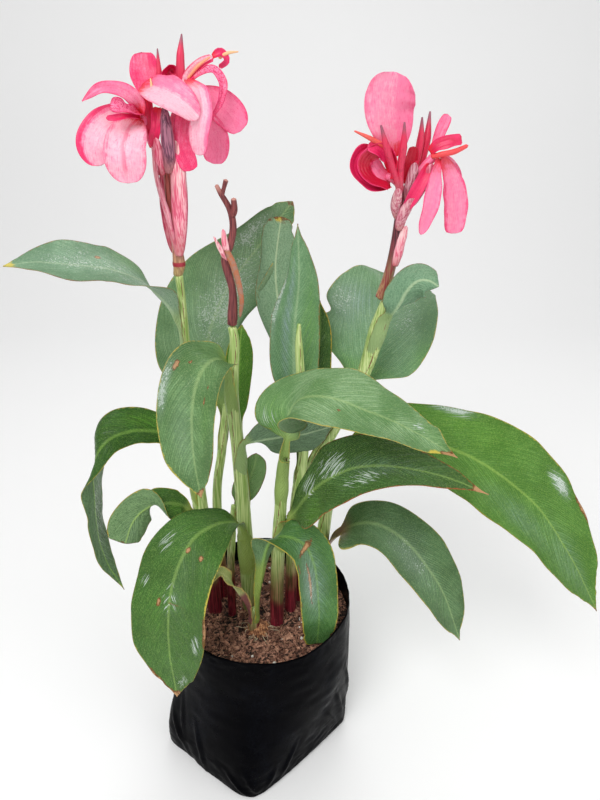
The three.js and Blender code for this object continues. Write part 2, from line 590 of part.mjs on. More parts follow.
// A bloom: the tube that its petals grow from, and its petals and stamens.
const BLOOMS = {
  bloom_left_side: {
    tube: { points: [[-69, 1, 640], [-73, 0, 655], [-78, -3, 673]], radii: [2.6, 3.2, 4.2] },
    petals: [
      {
        spine: [[-78, -4, 669], [-95, -10, 671], [-109, -17, 661], [-115, -22, 647],
          [-109, -24, 634]],
        half: 13, widest: 0.62, face: [FRONT, FRONT, [-0.3, -1, 0]],
      },
      {
        spine: [[-79, -5, 670], [-87, -15, 662], [-89, -25, 645], [-89, -31, 625]],
        half: 18, full: 0.75, face: [FRONT, FRONT, [0, -1, 0]],
      },
      {
        spine: [[-78, 1, 672], [-89, 5, 688], [-104, 8, 692], [-121, 9, 681]],
        half: 8, widest: 0.5, face: [[0, -0.6, 1], [0, -0.5, 1], [-0.6, -0.4, 0.7]],
      },
      {
        spine: [[-78, -2, 673], [-92, -8, 681], [-106, -14, 678]],
        half: 4.5, face: [[0, -0.6, 1], [0, -0.6, 1], [0, -0.6, 1]], rows: 4,
      },
    ],
  },
  bloom_left_top: {
    tube: { points: [[-70, 5, 652], [-71, 4, 668], [-72, 2, 680]], radii: [2.2, 2.6, 3] },
    petals: [
      {
        spine: [[-72, 4, 679], [-75, 12, 690], [-78, 20, 702], [-73, 26, 713]],
        half: 10.5, face: [FRONT, FRONT, FRONT],
      },
      {
        spine: [[-73, 0, 678], [-61, -14, 688], [-46, -22, 684], [-30, -24, 671]],
        half: 13.5, widest: 0.55, full: 0.75,
        face: [[0, -0.8, 0.6], [0, -0.9, 0.6], [0.3, -1, 0.5]],
      },
      {
        spine: [[-71, 1, 680], [-67, -2, 698]],
        half: 1.5, full: 0.5, face: [FRONT, FRONT, FRONT], rows: 2, columns: 2,
      },
    ],
  },
  bloom_left_right: {
    tube: { points: [[-53, 3, 642], [-46, 2, 658], [-39, 1, 674]], radii: [2.6, 3, 3.6] },
    petals: [
      {
        spine: [[-40, 1, 674], [-42, 5, 690], [-33, 9, 703], [-21, 12, 711], [-3, 15, 716]],
        half: 3, widest: 0.5, face: [FRONT, FRONT, FRONT],
      },
      {
        spine: [[-38, 3, 675], [-39, 10, 695], [-26, 18, 704], [-15, 21, 694], [-21, 17, 679]],
        half: 4, face: [[1, -0.5, 0], [0, -0.5, -1], [-1, -0.5, 0]],
      },
      {
        spine: [[-39, 0, 676], [-33, -13, 690], [-27, -22, 670], [-30, -23, 646]],
        half: 9.5, face: [[0, -0.5, 1], [0.2, -1, 0.2], [0, -1, -0.1]],
      },
      {
        spine: [[-38, 1, 674], [-23, 5, 679], [-9, 9, 673], [-2, 11, 659]],
        half: 12.5, widest: 0.65, full: 0.7, face: [FRONT, FRONT, [0.3, -1, 0]],
      },
      {
        spine: [[-39, 0, 671], [-27, -5, 661], [-21, -10, 650], [-22, -14, 638]],
        half: 9.5, widest: 0.65, face: [FRONT, FRONT, [0, -1, 0]],
      },
      {
        spine: [[-43, 0, 664], [-38, -8, 652], [-34, -12, 642], [-37, -14, 632]],
        half: 8, face: [FRONT, FRONT, [0, -1, 0]], rows: 4,
      },
    ],
  },
  bloom_right_top: {
    tube: { points: [[126, -3, 612], [123, -3, 628], [121, -2, 645]], radii: [2.2, 2.6, 3.2] },
    petals: [
      {
        spine: [[121, -3, 643], [115, -6, 660], [112, -12, 678], [114, -19, 702]],
        half: 18.5, widest: 0.62, full: 0.7, face: [FRONT, FRONT, [0, -1, 0.4]],
      },
      {
        spine: [[120, -4, 645], [103, -6, 654], [87, -8, 660]],
        half: 1.8, full: 0.5, face: [FRONT, FRONT, FRONT], rows: 3, columns: 2,
      },
    ],
  },
  bloom_right_left: {
    tube: { points: [[124, 1, 606], [118, -3, 616], [111, -5, 622]], radii: [2.4, 2.8, 3.4] },
    petals: [
      {
        spine: [[112, -5, 621], [98, -9, 620], [88, -12, 632], [89, -14, 648]],
        half: 9, face: [[0, -0.5, 1], [0.8, -0.6, 0.5], [1, -0.6, 0]],
      },
      {
        spine: [[112, -6, 623], [112, -10, 640], [101, -13, 645], [97, -15, 634], [104, -16, 627]],
        half: 5.5, full: 0.6, face: [[-1, -0.4, 0], [0, -0.4, -1], [1, -0.4, 0.3]],
      },
      {
        spine: [[113, -5, 624], [106, 3, 640], [99, 9, 652]],
        half: 8, face: [FRONT, FRONT, FRONT], rows: 4,
      },
    ],
  },
  bloom_right_side: {
    tube: { points: [[134, 1, 606], [143, 0, 626], [150, 0, 644]], radii: [2.4, 2.8, 3.6] },
    petals: [
      {
        spine: [[150, -1, 645], [156, -9, 632], [155, -18, 610], [143, -23, 587]],
        half: 8, widest: 0.62, face: [[0.5, -1, 0.3], [0.2, -1, 0], [0, -1, -0.2]],
      },
      {
        spine: [[151, 1, 645], [163, 5, 634], [172, 8, 612], [176, 8, 587]],
        half: 10.5, widest: 0.65, full: 0.7, face: [[0.5, -1, 0.5], [0.2, -1, 0], [0, -1, 0]],
      },
      {
        spine: [[150, 1, 644], [158, 8, 658], [163, 13, 672]],
        half: 6.5, face: [FRONT, FRONT, FRONT], rows: 4,
      },
      {
        spine: [[149, -1, 645], [159, -5, 652], [172, -8, 655]],
        half: 6, widest: 0.55, face: [[0, -1, 0.6], [0, -1, 0.6], [0, -1, 0.6]], rows: 4,
      },
      {
        spine: [[151, -2, 643], [164, 0, 646], [179, 3, 650]],
        half: 2, full: 0.4, face: [FRONT, FRONT, FRONT], rows: 3, columns: 2,
      },
    ],
  },
};

function stalkSolid({ stems, bracts }, extra = 0) {
  const parts = stems.map(({ points, radii, sides = 6 }) => (
    stem(points, radii, { sides, extra })));
  const blades = bracts.map(({ inward, ...bract }) => (
    petalSolid({ ...BRACT, ...bract, face: [inward, inward, inward] }, extra)));
  return wasm.Manifold.union([...parts, ...blades]);
}

function bloomSolid({ tube, petals }, extra = 0) {
  const core = stem(tube.points, tube.radii, { sides: 6, step: 14, extra, dome: 0.6 });
  return wasm.Manifold.union([core, ...petals.map((petal) => petalSolid(petal, extra))]);
}

// ---------------------------------------------------------------- bag and potting mix

// Distance from the axis to the bag's side, at an angle and a height.
function bagRadius(angle, z) {
  const { base, corner, rim } = BAG;
  const flats = base.map(([side, reach]) => Math.max(0, Math.cos(angle - radians(side))) / reach);
  const square = flats.reduce((sum, one) => sum + one ** corner, 0) ** (-1 / corner);
  const toRim = rim.x * Math.cos(angle) + rim.y * Math.sin(angle) + rim.radius;
  const share = clamp01(z / rim.z);
  return mix(square, toRim, ease(share / BAG.round)) + BAG.belly * Math.sin(Math.PI * share);
}

function bagRing(z, inset) {
  const ring = [];
  for (let j = 0; j < BAG.sides; j += 1) {
    const angle = 2 * Math.PI * (j + 0.5) / BAG.sides;
    const radius = bagRadius(angle, z) - inset;
    ring.push(vec([radius * Math.cos(angle), radius * Math.sin(angle), z]));
  }
  return ring;
}

// Heights that the bag's cavity and the potting mix share, so that their walls run alike.
const WALL_RINGS = [35, 75, 115, SOIL.z];

function growBag() {
  const { film, rim, edge } = BAG;
  const outer = [
    bagRing(0, edge),
    bagRing(edge * 0.3, edge * 0.3),
    ...[edge, ...WALL_RINGS, rim.z].map((z) => bagRing(z, 0)),
  ];
  const floor = edge + film;
  const cavity = [floor, ...WALL_RINGS, rim.z + film].map((z) => bagRing(z, film));
  return solidOfRings(outer, vec([0, 0, 0]), vec([0, 0, rim.z]))
    .subtract(solidOfRings(cavity, vec([0, 0, floor]), vec([0, 0, rim.z + film])));
}

function pottingMix() {
  const inset = BAG.film + GAP;
  const floor = BAG.edge + BAG.film + GAP;
  const walls = [floor, ...WALL_RINGS].map((z) => bagRing(z, inset));
  const brim = walls[walls.length - 1];
  const crown = SOIL.crown.map((share) => brim.map((point, j) => {
    const lump = SOIL.lump * Math.sin(3.1 * j + 17 * share) * Math.cos(1.7 * j - 9 * share);
    const height = SOIL.z + SOIL.mound * (1 - share ** 2) + lump;
    return vec([point.x * share, point.y * share, height]);
  }));
  const peak = vec([0, 0, SOIL.z + SOIL.mound]);
  return solidOfRings([...walls, ...crown], vec([0, 0, floor]), peak);
}

// The knobbly rootstock that shows where the low shoot leaves the potting mix.
const RHIZOME = { middle: [-3, -26, 148], size: [17, 15, 12], knob: 0.09 };

function rhizome(extra = 0) {
  const ball = new THREE.IcosahedronGeometry(1, 2);
  const place = ball.getAttribute('position');
  const keys = new Map();
  const surface = new Surface();
  const index = [];
  for (let i = 0; i < place.count; i += 1) {
    const unit = vec([place.getX(i), place.getY(i), place.getZ(i)]).normalize();
    const key = unit.toArray().map((value) => value.toFixed(4)).join();
    if (!keys.has(key)) {
      const knobs = Math.sin(7 * unit.x + 2) * Math.sin(6 * unit.y + 1) * Math.cos(5 * unit.z);
      const knob = 1 + RHIZOME.knob * knobs;
      const [x, y, z] = RHIZOME.size.map((size) => size * knob + extra);
      keys.set(key, surface.add(unit.multiply(vec([x, y, z])).add(vec(RHIZOME.middle))));
    }
    index.push(keys.get(key));
  }
  for (let i = 0; i < index.length; i += 3) surface.triangle(index[i], index[i + 1], index[i + 2]);
  return surface.solid();
}

// ---------------------------------------------------------------- the plant

const COLOURS = {
  bag: { color: 0x121214, roughness: 0.35 },
  soil: { color: 0x5a3d2c, roughness: 0.95 },
  rhizome: { color: 0xa9773f, roughness: 0.8 },
  shoot: { color: 0x8fae52, roughness: 0.5 },
  leaf: { color: 0x3f7a35, roughness: 0.45 },
  stalk: { color: 0x9c4558, roughness: 0.5 },
  spent: { color: 0x8a4a35, roughness: 0.7 },
  petal: { color: 0xf2567f, roughness: 0.5 },
};

const plant = new THREE.Group();

function place(name, solid, colour) {
  const { vertProperties, triVerts, numProp } = solid.getMesh();
  const geometry = new THREE.BufferGeometry();
  const points = [];
  for (let i = 0; i < vertProperties.length; i += numProp) {
    points.push(vertProperties[i], vertProperties[i + 1], vertProperties[i + 2]);
  }
  geometry.setAttribute('position', new THREE.Float32BufferAttribute(points, 3));
  geometry.setIndex([...triVerts]);
  geometry.computeVertexNormals();
  const mesh = new THREE.Mesh(geometry, new THREE.MeshStandardMaterial(COLOURS[colour]));
  mesh.name = name;
  plant.add(mesh);
}

const shootNames = Object.keys(SHOOTS);
const widerShoots = wasm.Manifold.union(shootNames.map((name) => shootSolid(name, GAP)));

place('grow_bag', growBag(), 'bag');
const mixWithHoles = pottingMix().subtract(widerShoots).subtract(rhizome(GAP));
place('potting_mix', keepLargest(mixWithHoles), 'soil');
place('rhizome', keepLargest(rhizome().subtract(widerShoots)), 'rhizome');

for (const name of shootNames) place(name, shootSolid(name), 'shoot');
for (const [name, leaf] of Object.entries(LEAVES)) {
  place(name, keepLargest(leafSolid(leaf).subtract(widerShoots)), 'leaf');
}

for (const [name, stalk] of Object.entries(FLOWER_STALKS)) {
  place(name, keepLargest(stalkSolid(stalk)), name === 'flower_stalk_spent' ? 'spent' : 'stalk');
}

// Each bloom is kept clear of the stalks and of the blooms that are already in place.
let taken = wasm.Manifold.union(Object.values(FLOWER_STALKS).map((one) => stalkSolid(one, GAP)));
for (const [name, bloom] of Object.entries(BLOOMS)) {
  place(name, keepLargest(bloomSolid(bloom).subtract(taken)), 'petal');
  taken = taken.add(bloomSolid(bloom, GAP));
}

export default plant;
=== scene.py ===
"""Looks of a canna lily in a polythene grow bag: leaves, shoots, flowers, potting mix and bag.

Lengths in the tables are millimetres in the part's frame, +Z up, -Y the plant's front.
"""

import math

import bmesh
import bpy
import numpy as np
from mathutils import Matrix, Vector


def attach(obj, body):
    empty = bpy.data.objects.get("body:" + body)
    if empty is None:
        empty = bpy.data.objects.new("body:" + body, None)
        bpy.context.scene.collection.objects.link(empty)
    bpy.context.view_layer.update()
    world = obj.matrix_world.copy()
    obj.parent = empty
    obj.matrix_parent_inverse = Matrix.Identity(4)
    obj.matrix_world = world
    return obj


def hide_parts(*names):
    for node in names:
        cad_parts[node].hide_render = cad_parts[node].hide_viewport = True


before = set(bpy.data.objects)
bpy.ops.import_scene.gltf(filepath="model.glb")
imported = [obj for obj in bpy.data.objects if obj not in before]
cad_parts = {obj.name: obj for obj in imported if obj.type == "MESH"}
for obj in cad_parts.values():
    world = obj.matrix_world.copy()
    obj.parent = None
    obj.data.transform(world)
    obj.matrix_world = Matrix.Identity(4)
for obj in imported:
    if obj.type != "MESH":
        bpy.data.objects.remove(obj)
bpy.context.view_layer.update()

MM = 0.001

# ---------------- camera, light and floor

CAMERA_AT = (0.045, -0.515, 0.678)
CAMERA_DOWN = math.radians(26)
CAMERA_LENS = 27
CAMERA_SENSOR = 36                    # mm, along the longer side of the frame


# ---------------- curves and noise


def mix(low, high, share):
    return low + (high - low) * share


def ease(value):
    value = np.clip(value, 0, 1)
    return value * value * (3 - 2 * value)


def window(value, low, high, soft):
    """1 between low and high, falling to 0 over soft outside them."""
    return ease((value - low) / soft + 1) * ease((high - value) / soft + 1)


def unit(vectors):
    return vectors / np.maximum(np.linalg.norm(vectors, axis=-1, keepdims=True), 1e-9)


def square_to(directions, along):
    return unit(directions - along * (directions * along).sum(-1, keepdims=True))


class Path:
    """A smooth curve through points, measured by its length."""

    FINE = 40

    def __init__(self, points):
        given = np.array(points, float)
        ends = np.vstack([2 * given[0] - given[1], given, 2 * given[-1] - given[-2]])
        t = np.linspace(0, 1, self.FINE, endpoint=False)[:, None]
        pieces = []
        for before, start, end, after in zip(ends, ends[1:], ends[2:], ends[3:]):
            leave, arrive = (end - before) / 2, (after - start) / 2
            pieces.append(
                start + leave * t + (3 * (end - start) - 2 * leave - arrive) * t**2
                + (2 * (start - end) + leave + arrive) * t**3
            )
        self.points = np.vstack(pieces + [given[-1:]])
        steps = np.linalg.norm(np.diff(self.points, axis=0), axis=1)
        self.lengths = np.concatenate([[0], np.cumsum(steps)])
        self.knots = self.lengths[:: self.FINE]
        self.total = self.lengths[-1]
        self.directions = unit(np.gradient(self.points, self.lengths, axis=0))

    def _read(self, table, length):
        return np.stack([np.interp(length, self.lengths, table[:, i]) for i in range(3)], -1)

    def point(self, length):
        return self._read(self.points, length)

    def tangent(self, length):
        return unit(self._read(self.directions, length))

    def value(self, values, length):
        return np.interp(length, self.knots, values)


LATTICE = 24


def noise(points, size, seed):
    """Smooth random value from -1 to 1 at each point. size is the width of its lumps."""
    table = np.random.default_rng(seed).uniform(-1, 1, (LATTICE, LATTICE, LATTICE))
    places = np.asarray(points, float) / size
    cell = np.floor(places).astype(int)
    share = ease(places - cell)
    total = 0
    for corner in np.ndindex(2, 2, 2):
        weight = np.prod(np.where(corner, share, 1 - share), axis=-1)
        at = (cell + corner) % LATTICE
        total = total + weight * table[at[..., 0], at[..., 1], at[..., 2]]
    return total


# ---------------- meshes


def new_object(name, data):
    """An object of the scene round a mesh, a lamp or a lens."""
    made = bpy.data.objects.new(name, data)
    bpy.context.scene.collection.objects.link(made)
    return made


class Shell:
    """Closed surfaces of one piece, gathered part by part.

    Each vertex keeps four triples for its finish. place: share across (-1 to 1) or round a
    stem, share along, half width or radius in metres. mark: underside (0 or 1) or seam,
    length along in metres, tone; on a leaf the tone is the strength of its painted glints, on
    the potting mix its height, which the finish darkens low down as painted shade in the pits.
    coat and tint: six strengths that the piece's finish names.
    """

    def __init__(self):
        self.points = []
        self.place = []
        self.mark = []
        self.coat = []
        self.faces = []
        self.finish = []
        self.count = 0

    def _add(self, points, place, mark, coat=None):
        first = self.count
        self.points.append(points.reshape(-1, 3))
        self.place.append(place.reshape(-1, 3))
        self.mark.append(mark.reshape(-1, 3))
        self.count += len(self.points[-1])
        self.coat.append(np.zeros((len(self.points[-1]), 6)) if coat is None else coat.reshape(-1, 6))
        return first + np.arange(len(self.points[-1])).reshape(points.shape[:-1])

    def _faces(self, faces, finish):
        self.faces += faces.tolist()
        self.finish += [finish] * len(faces)

    @staticmethod
    def _quads(a, b, c, d):
        return np.stack([a, b, c, d], -1).reshape(-1, 4)

    def sheet(self, upper, under, place, mark, coat, finish=0):
        """Two surfaces of the same grid, joined round their edge."""
        below = mark.copy()
        below[..., 0] = 1
        top = self._add(upper, place, mark, coat)
        low = self._add(under, place, below, coat)
        quads = self._quads
        self._faces(quads(top[:-1, :-1], top[:-1, 1:], top[1:, 1:], top[1:, :-1]), finish)
        self._faces(quads(low[:-1, :-1], low[1:, :-1], low[1:, 1:], low[:-1, 1:]), finish)
        self._faces(quads(top[:-1, 0], top[1:, 0], low[1:, 0], low[:-1, 0]), finish)
        self._faces(quads(top[1:, -1], top[:-1, -1], low[:-1, -1], low[1:, -1]), finish)
        self._faces(quads(top[0, 1:], top[0, :-1], low[0, :-1], low[0, 1:]), finish)
        self._faces(quads(top[-1, :-1], top[-1, 1:], low[-1, 1:], low[-1, :-1]), finish)

    def rings(self, rings, place, mark, first, last, finish=0):
        """Rings of points joined one to the next, closed by a point at each end."""
        grid = self._add(rings, place, mark)
        start = self._add(np.array([first], float), place[:1, 0], mark[:1, 0])[0]
        end = self._add(np.array([last], float), place[-1:, 0], mark[-1:, 0])[0]
        turned = np.roll(grid, -1, axis=1)
        self._faces(self._quads(grid[:-1], turned[:-1], turned[1:], grid[1:]), finish)
        foot = np.stack([np.full(grid.shape[1], start), turned[0], grid[0]], -1)
        head = np.stack([np.full(grid.shape[1], end), grid[-1], turned[-1]], -1)
        self._faces(foot, finish)
        self._faces(head, finish)

    def solids(self, faces, places, place, mark):
        """Copies of a small closed shape. places holds the points of every copy."""
        corners = places.shape[1]
        spread = np.repeat(np.asarray(place, float)[:, None], corners, 1)
        marks = np.repeat(np.asarray(mark, float)[:, None], corners, 1)
        grid = self._add(places, spread, marks)
        self._faces(grid[:, faces].reshape(-1, len(faces[0])), 0)

    def piece(self, name, finishes, smooth=True):
        """The gathered surfaces as one object, in metres."""
        mesh = bpy.data.meshes.new(name)
        mesh.from_pydata((np.vstack(self.points) * MM).tolist(), [], self.faces)
        kept = np.hstack([np.vstack(rows) for rows in (self.place, self.mark, self.coat)])
        for number, label in enumerate(("place", "mark", "coat", "tint")):
            layer = mesh.attributes.new(label, "FLOAT_VECTOR", "POINT")
            triple = kept[:, 3 * number : 3 * number + 3].astype(np.float32)
            layer.data.foreach_set("vector", triple.ravel())
        for material in finishes:
            mesh.materials.append(material)
        mesh.polygons.foreach_set("material_index", self.finish)
        mesh.polygons.foreach_set("use_smooth", [smooth] * len(mesh.polygons))
        mesh.update()
        return new_object(name, mesh)


def rests(piece, slot, *nodes):
    """The piece stands for these nodes of the plant, all of which is one body."""
    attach(piece, "root")
    if nodes:
        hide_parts(*nodes)
    return piece


def columns(count):
    """Places across a sheet from -1 to 1, closer together at the midrib."""
    t = np.linspace(-1, 1, count)
    return np.sign(t) * np.abs(t) ** 1.35


def sheet_surfaces(rows, v, turn, lift, thick, edge, upper_relief, under_relief):
    """Upper and under surface of a thin sheet.

    rows: point, across and face of each row, and the offset of each place from the midrib.
    turn: angle of the section at each place, so that one rule gives a sheath, a channel, a
    rolled margin or a flat blade. lift: how far each place rises towards the face.
    """
    across, face = rows["across"], rows["face"]
    turn, lift = turn[..., None], lift[..., None]
    heading = across * np.cos(turn) + face * np.sin(turn)
    step = np.diff(rows["offset"], axis=1)[..., None]
    run = step * (heading[:, 1:] + heading[:, :-1]) / 2
    total = np.concatenate([0 * run[:, :1], np.cumsum(run, 1)], 1)
    middle = v.shape[1] // 2
    place = rows["point"][:, None] + total - total[:, middle : middle + 1] + face * lift
    out = face * np.cos(turn) - across * np.sin(turn)
    half = mix(thick, edge, np.abs(v) ** 3) / 2
    upper = place + out * (half + upper_relief)[..., None]
    under = place - out * (half + under_relief)[..., None]
    return upper, under


def stem_rings(points, radii, sides, step, relief=None):
    """Rings of a round stem, with the world angle and the length of each of their points."""
    path = Path(points)
    count = max(6, round(path.total / step) + 1)
    length = np.linspace(0, path.total, count)
    along = path.tangent(length)
    side = np.array([1, 0.2, 0.1])
    sides_at = []
    for direction in along:
        side = square_to(side, direction)
        sides_at.append(side)
    side = np.array(sides_at)
    across = np.cross(along, side)
    turn = 2 * np.pi * np.arange(sides) / sides
    out = side[:, None] * np.cos(turn)[:, None] + across[:, None] * np.sin(turn)[:, None]
    middle = path.point(length)
    radius = path.value(radii, length)[:, None] * np.ones(sides)
    angle = np.arctan2(out[..., 1], out[..., 0])
    if relief is not None:
        radius = radius + relief(angle, middle[:, None, 2] + 0 * angle)
    rings = middle[:, None] + out * radius[..., None]
    return path, rings, angle, length[:, None] + 0 * angle, radius


def add_stem(shell, points, radii, sides, step, relief=None, tone=0, seam=None, finish=0, dome=0.5):
    """A round stem with domed ends. seam marks its lines: the overlap of sheaths, and scars."""
    path, rings, angle, length, radius = stem_rings(points, radii, sides, step, relief)
    place = np.stack([angle / np.pi, length / path.total, radius * MM], -1)
    lines = seam(angle, rings[..., 2]) if seam else np.zeros_like(angle)
    tones = tone(length) if callable(tone) else np.full_like(angle, tone)
    mark = np.stack([lines, length * MM, tones], -1)
    first = path.point(0) - path.tangent(0) * dome * radii[0]
    last = path.point(path.total) + path.tangent(path.total) * dome * radii[-1]
    shell.rings(rings, place, mark, first, last, finish)


def face_at(faces, s):
    """Direction the upper face looks in, from directions evenly spaced along the blade."""
    faces = unit(np.array(faces, float))
    steps = np.linspace(0, 1, len(faces))
    return np.stack([np.interp(s, steps, faces[:, i]) for i in range(3)], -1)


def outline(s, widest, full):
    """Outline of a blade: 0 at both ends and 1 at its widest place."""
    a = np.maximum(s, 1e-4) / widest
    b = np.maximum(1 - s, 1e-4) / (1 - widest)
    return a ** (full * widest) * b ** (full * (1 - widest))


# ---------------- finishes


def shown(red, green, blue):
    """A colour as it looks on a screen, from 0 to 255, turned to the light it reflects."""
    values = np.array([red, green, blue]) / 255
    light = np.where(values <= 0.04045, values / 12.92, ((values + 0.055) / 1.055) ** 2.4)
    return (*light.tolist(), 1)


class Recipe:
    """Places the nodes of one finish, or of one effect that several finishes share."""

    def __init__(self, tree):
        self.tree = tree

    def put(self, socket, value):
        if isinstance(value, bpy.types.NodeSocket):
            self.tree.links.new(value, socket)
        else:
            socket.default_value = value

    def node(self, kind, inputs=(), **settings):
        node = self.tree.nodes.new("ShaderNode" + kind)
        for name, value in settings.items():
            setattr(node, name, value)
        for name, value in dict(inputs).items():
            self.put(node.inputs[name], value)
        return node

    def maths(self, operation, *values):
        return self.node("Math", dict(enumerate(values)), operation=operation).outputs[0]

    def product(self, *values):
        total = values[0]
        for value in values[1:]:
            total = self.maths("MULTIPLY", total, value)
        return total

    def blend(self, share, low, high):
        """Two colours mixed. Each is a socket, or red, green and blue as shown takes them."""
        low, high = (shown(*each) if isinstance(each, tuple) else each for each in (low, high))
        return self.node("Mix", {0: share, 6: low, 7: high}, data_type="RGBA").outputs[2]

    def between(self, value, low, high, start=0.0, end=1.0):
        """start where the value is low, end where it is high, smooth between them."""
        inputs = {"Value": value, "From Min": low, "From Max": high, "To Min": start, "To Max": end}
        node = self.node("MapRange", inputs, interpolation_type="SMOOTHSTEP")
        return node.outputs["Result"]

    def parts(self, vector):
        return self.node("SeparateXYZ", {0: vector}).outputs

    def read(self, name):
        return self.parts(self.node("Attribute", attribute_name=name).outputs["Vector"])

    def where(self):
        return self.node("TexCoord").outputs["Object"]

    def lumps(self, scale, detail=2.0, rough=0.5, stretch=None):
        """Cloudy value from 0 to 1. scale is lumps per metre."""
        where = self.where()
        if stretch:
            where = self.node("VectorMath", {0: where, 1: stretch}, operation="MULTIPLY").outputs[0]
        inputs = {"Vector": where, "Scale": scale, "Detail": detail, "Roughness": rough}
        return self.node("TexNoise", inputs).outputs[0]

    def bump(self, height):
        return self.node("Bump", {"Height": height, "Distance": 1.0}).outputs["Normal"]

    def effect(self, group, **values):
        node = self.node("Group", node_tree=group)
        for name, value in values.items():
            self.put(node.inputs[name.replace("_", " ")], value)
        return node.outputs


def effect_group(name, inputs, outputs):
    """An empty shared effect with its named inputs and outputs."""
    group = bpy.data.node_groups.new(name, "ShaderNodeTree")
    kinds = {float: "NodeSocketFloat", tuple: "NodeSocketColor", str: "NodeSocketVector"}
    for label, value in inputs.items():
        socket = group.interface.new_socket(label, in_out="INPUT", socket_type=kinds[type(value)])
        if not isinstance(value, str):
            socket.default_value = value
    for label, kind in outputs.items():
        group.interface.new_socket(label, in_out="OUTPUT", socket_type=kinds[kind])
    recipe = Recipe(group)
    given = recipe.tree.nodes.new("NodeGroupInput").outputs
    result = recipe.tree.nodes.new("NodeGroupOutput").inputs
    return group, recipe, given, result


def specks_group():
    """Small scattered specks: wax on leaves, dust on film, pale grit. 1 on a speck."""
    group, make, given, result = effect_group(
        "scattered specks", {"Scale": 600.0, "Amount": 0.3}, {"Mask": float}
    )
    fine = make.lumps(given["Scale"], 3, 0.65)
    patches = make.lumps(make.product(given["Scale"], 0.12), 2, 0.5)
    level = make.maths("ADD", make.product(fine, 0.75), make.product(patches, 0.25))
    start = make.between(given["Amount"], 0, 1, 0.72, 0.36)
    make.put(result["Mask"], make.between(level, start, make.maths("ADD", start, 0.05)))
    return group


def veins_group():
    """Pinnate veins of a blade: fine lines, broad bands between them, and the midrib."""
    group, make, given, result = effect_group(
        "pinnate veins",
        {"Place": "", "Mark": ""},
        {"Lines": float, "Ridges": float, "Bands": float, "Flecks": float, "Midrib": float,
         "Margin": float},
    )
    v, s, half = make.parts(given["Place"])
    run = make.parts(given["Mark"])[1]
    across = make.maths("ABSOLUTE", v)
    sweep = make.maths("MULTIPLY_ADD", make.product(across, 0.9), across, make.product(across, 1.5))
    vein = make.maths("SUBTRACT", run, make.product(half, sweep))
    wander = make.product(make.maths("SUBTRACT", make.lumps(60, 1), 0.5), 0.003)
    vein = make.maths("ADD", vein, wander)
    for label, spacing in (("Lines", 0.0021), ("Ridges", 0.0047), ("Bands", 0.0115)):
        wave = make.maths("SINE", make.product(vein, 2 * math.pi / spacing))
        make.put(result[label], make.between(wave, -1, 1))
    flecks = {0: vein, 1: make.product(run, 0.05), 2: make.product(v, 0.01)}
    flecks = make.node("CombineXYZ", flecks).outputs[0]
    inputs = {"Vector": flecks, "Scale": 460.0, "Detail": 2.0, "Roughness": 0.6}
    make.put(result["Flecks"], make.node("TexNoise", inputs).outputs[0])
    width = make.between(s, 0, 1, 0.0032, 0.0012)
    off = make.product(across, half)
    make.put(result["Midrib"], make.between(off, make.product(width, 0.2), width, 1, 0))
    make.put(result["Margin"], make.product(make.maths("SUBTRACT", 1.0, across), half))
    return group


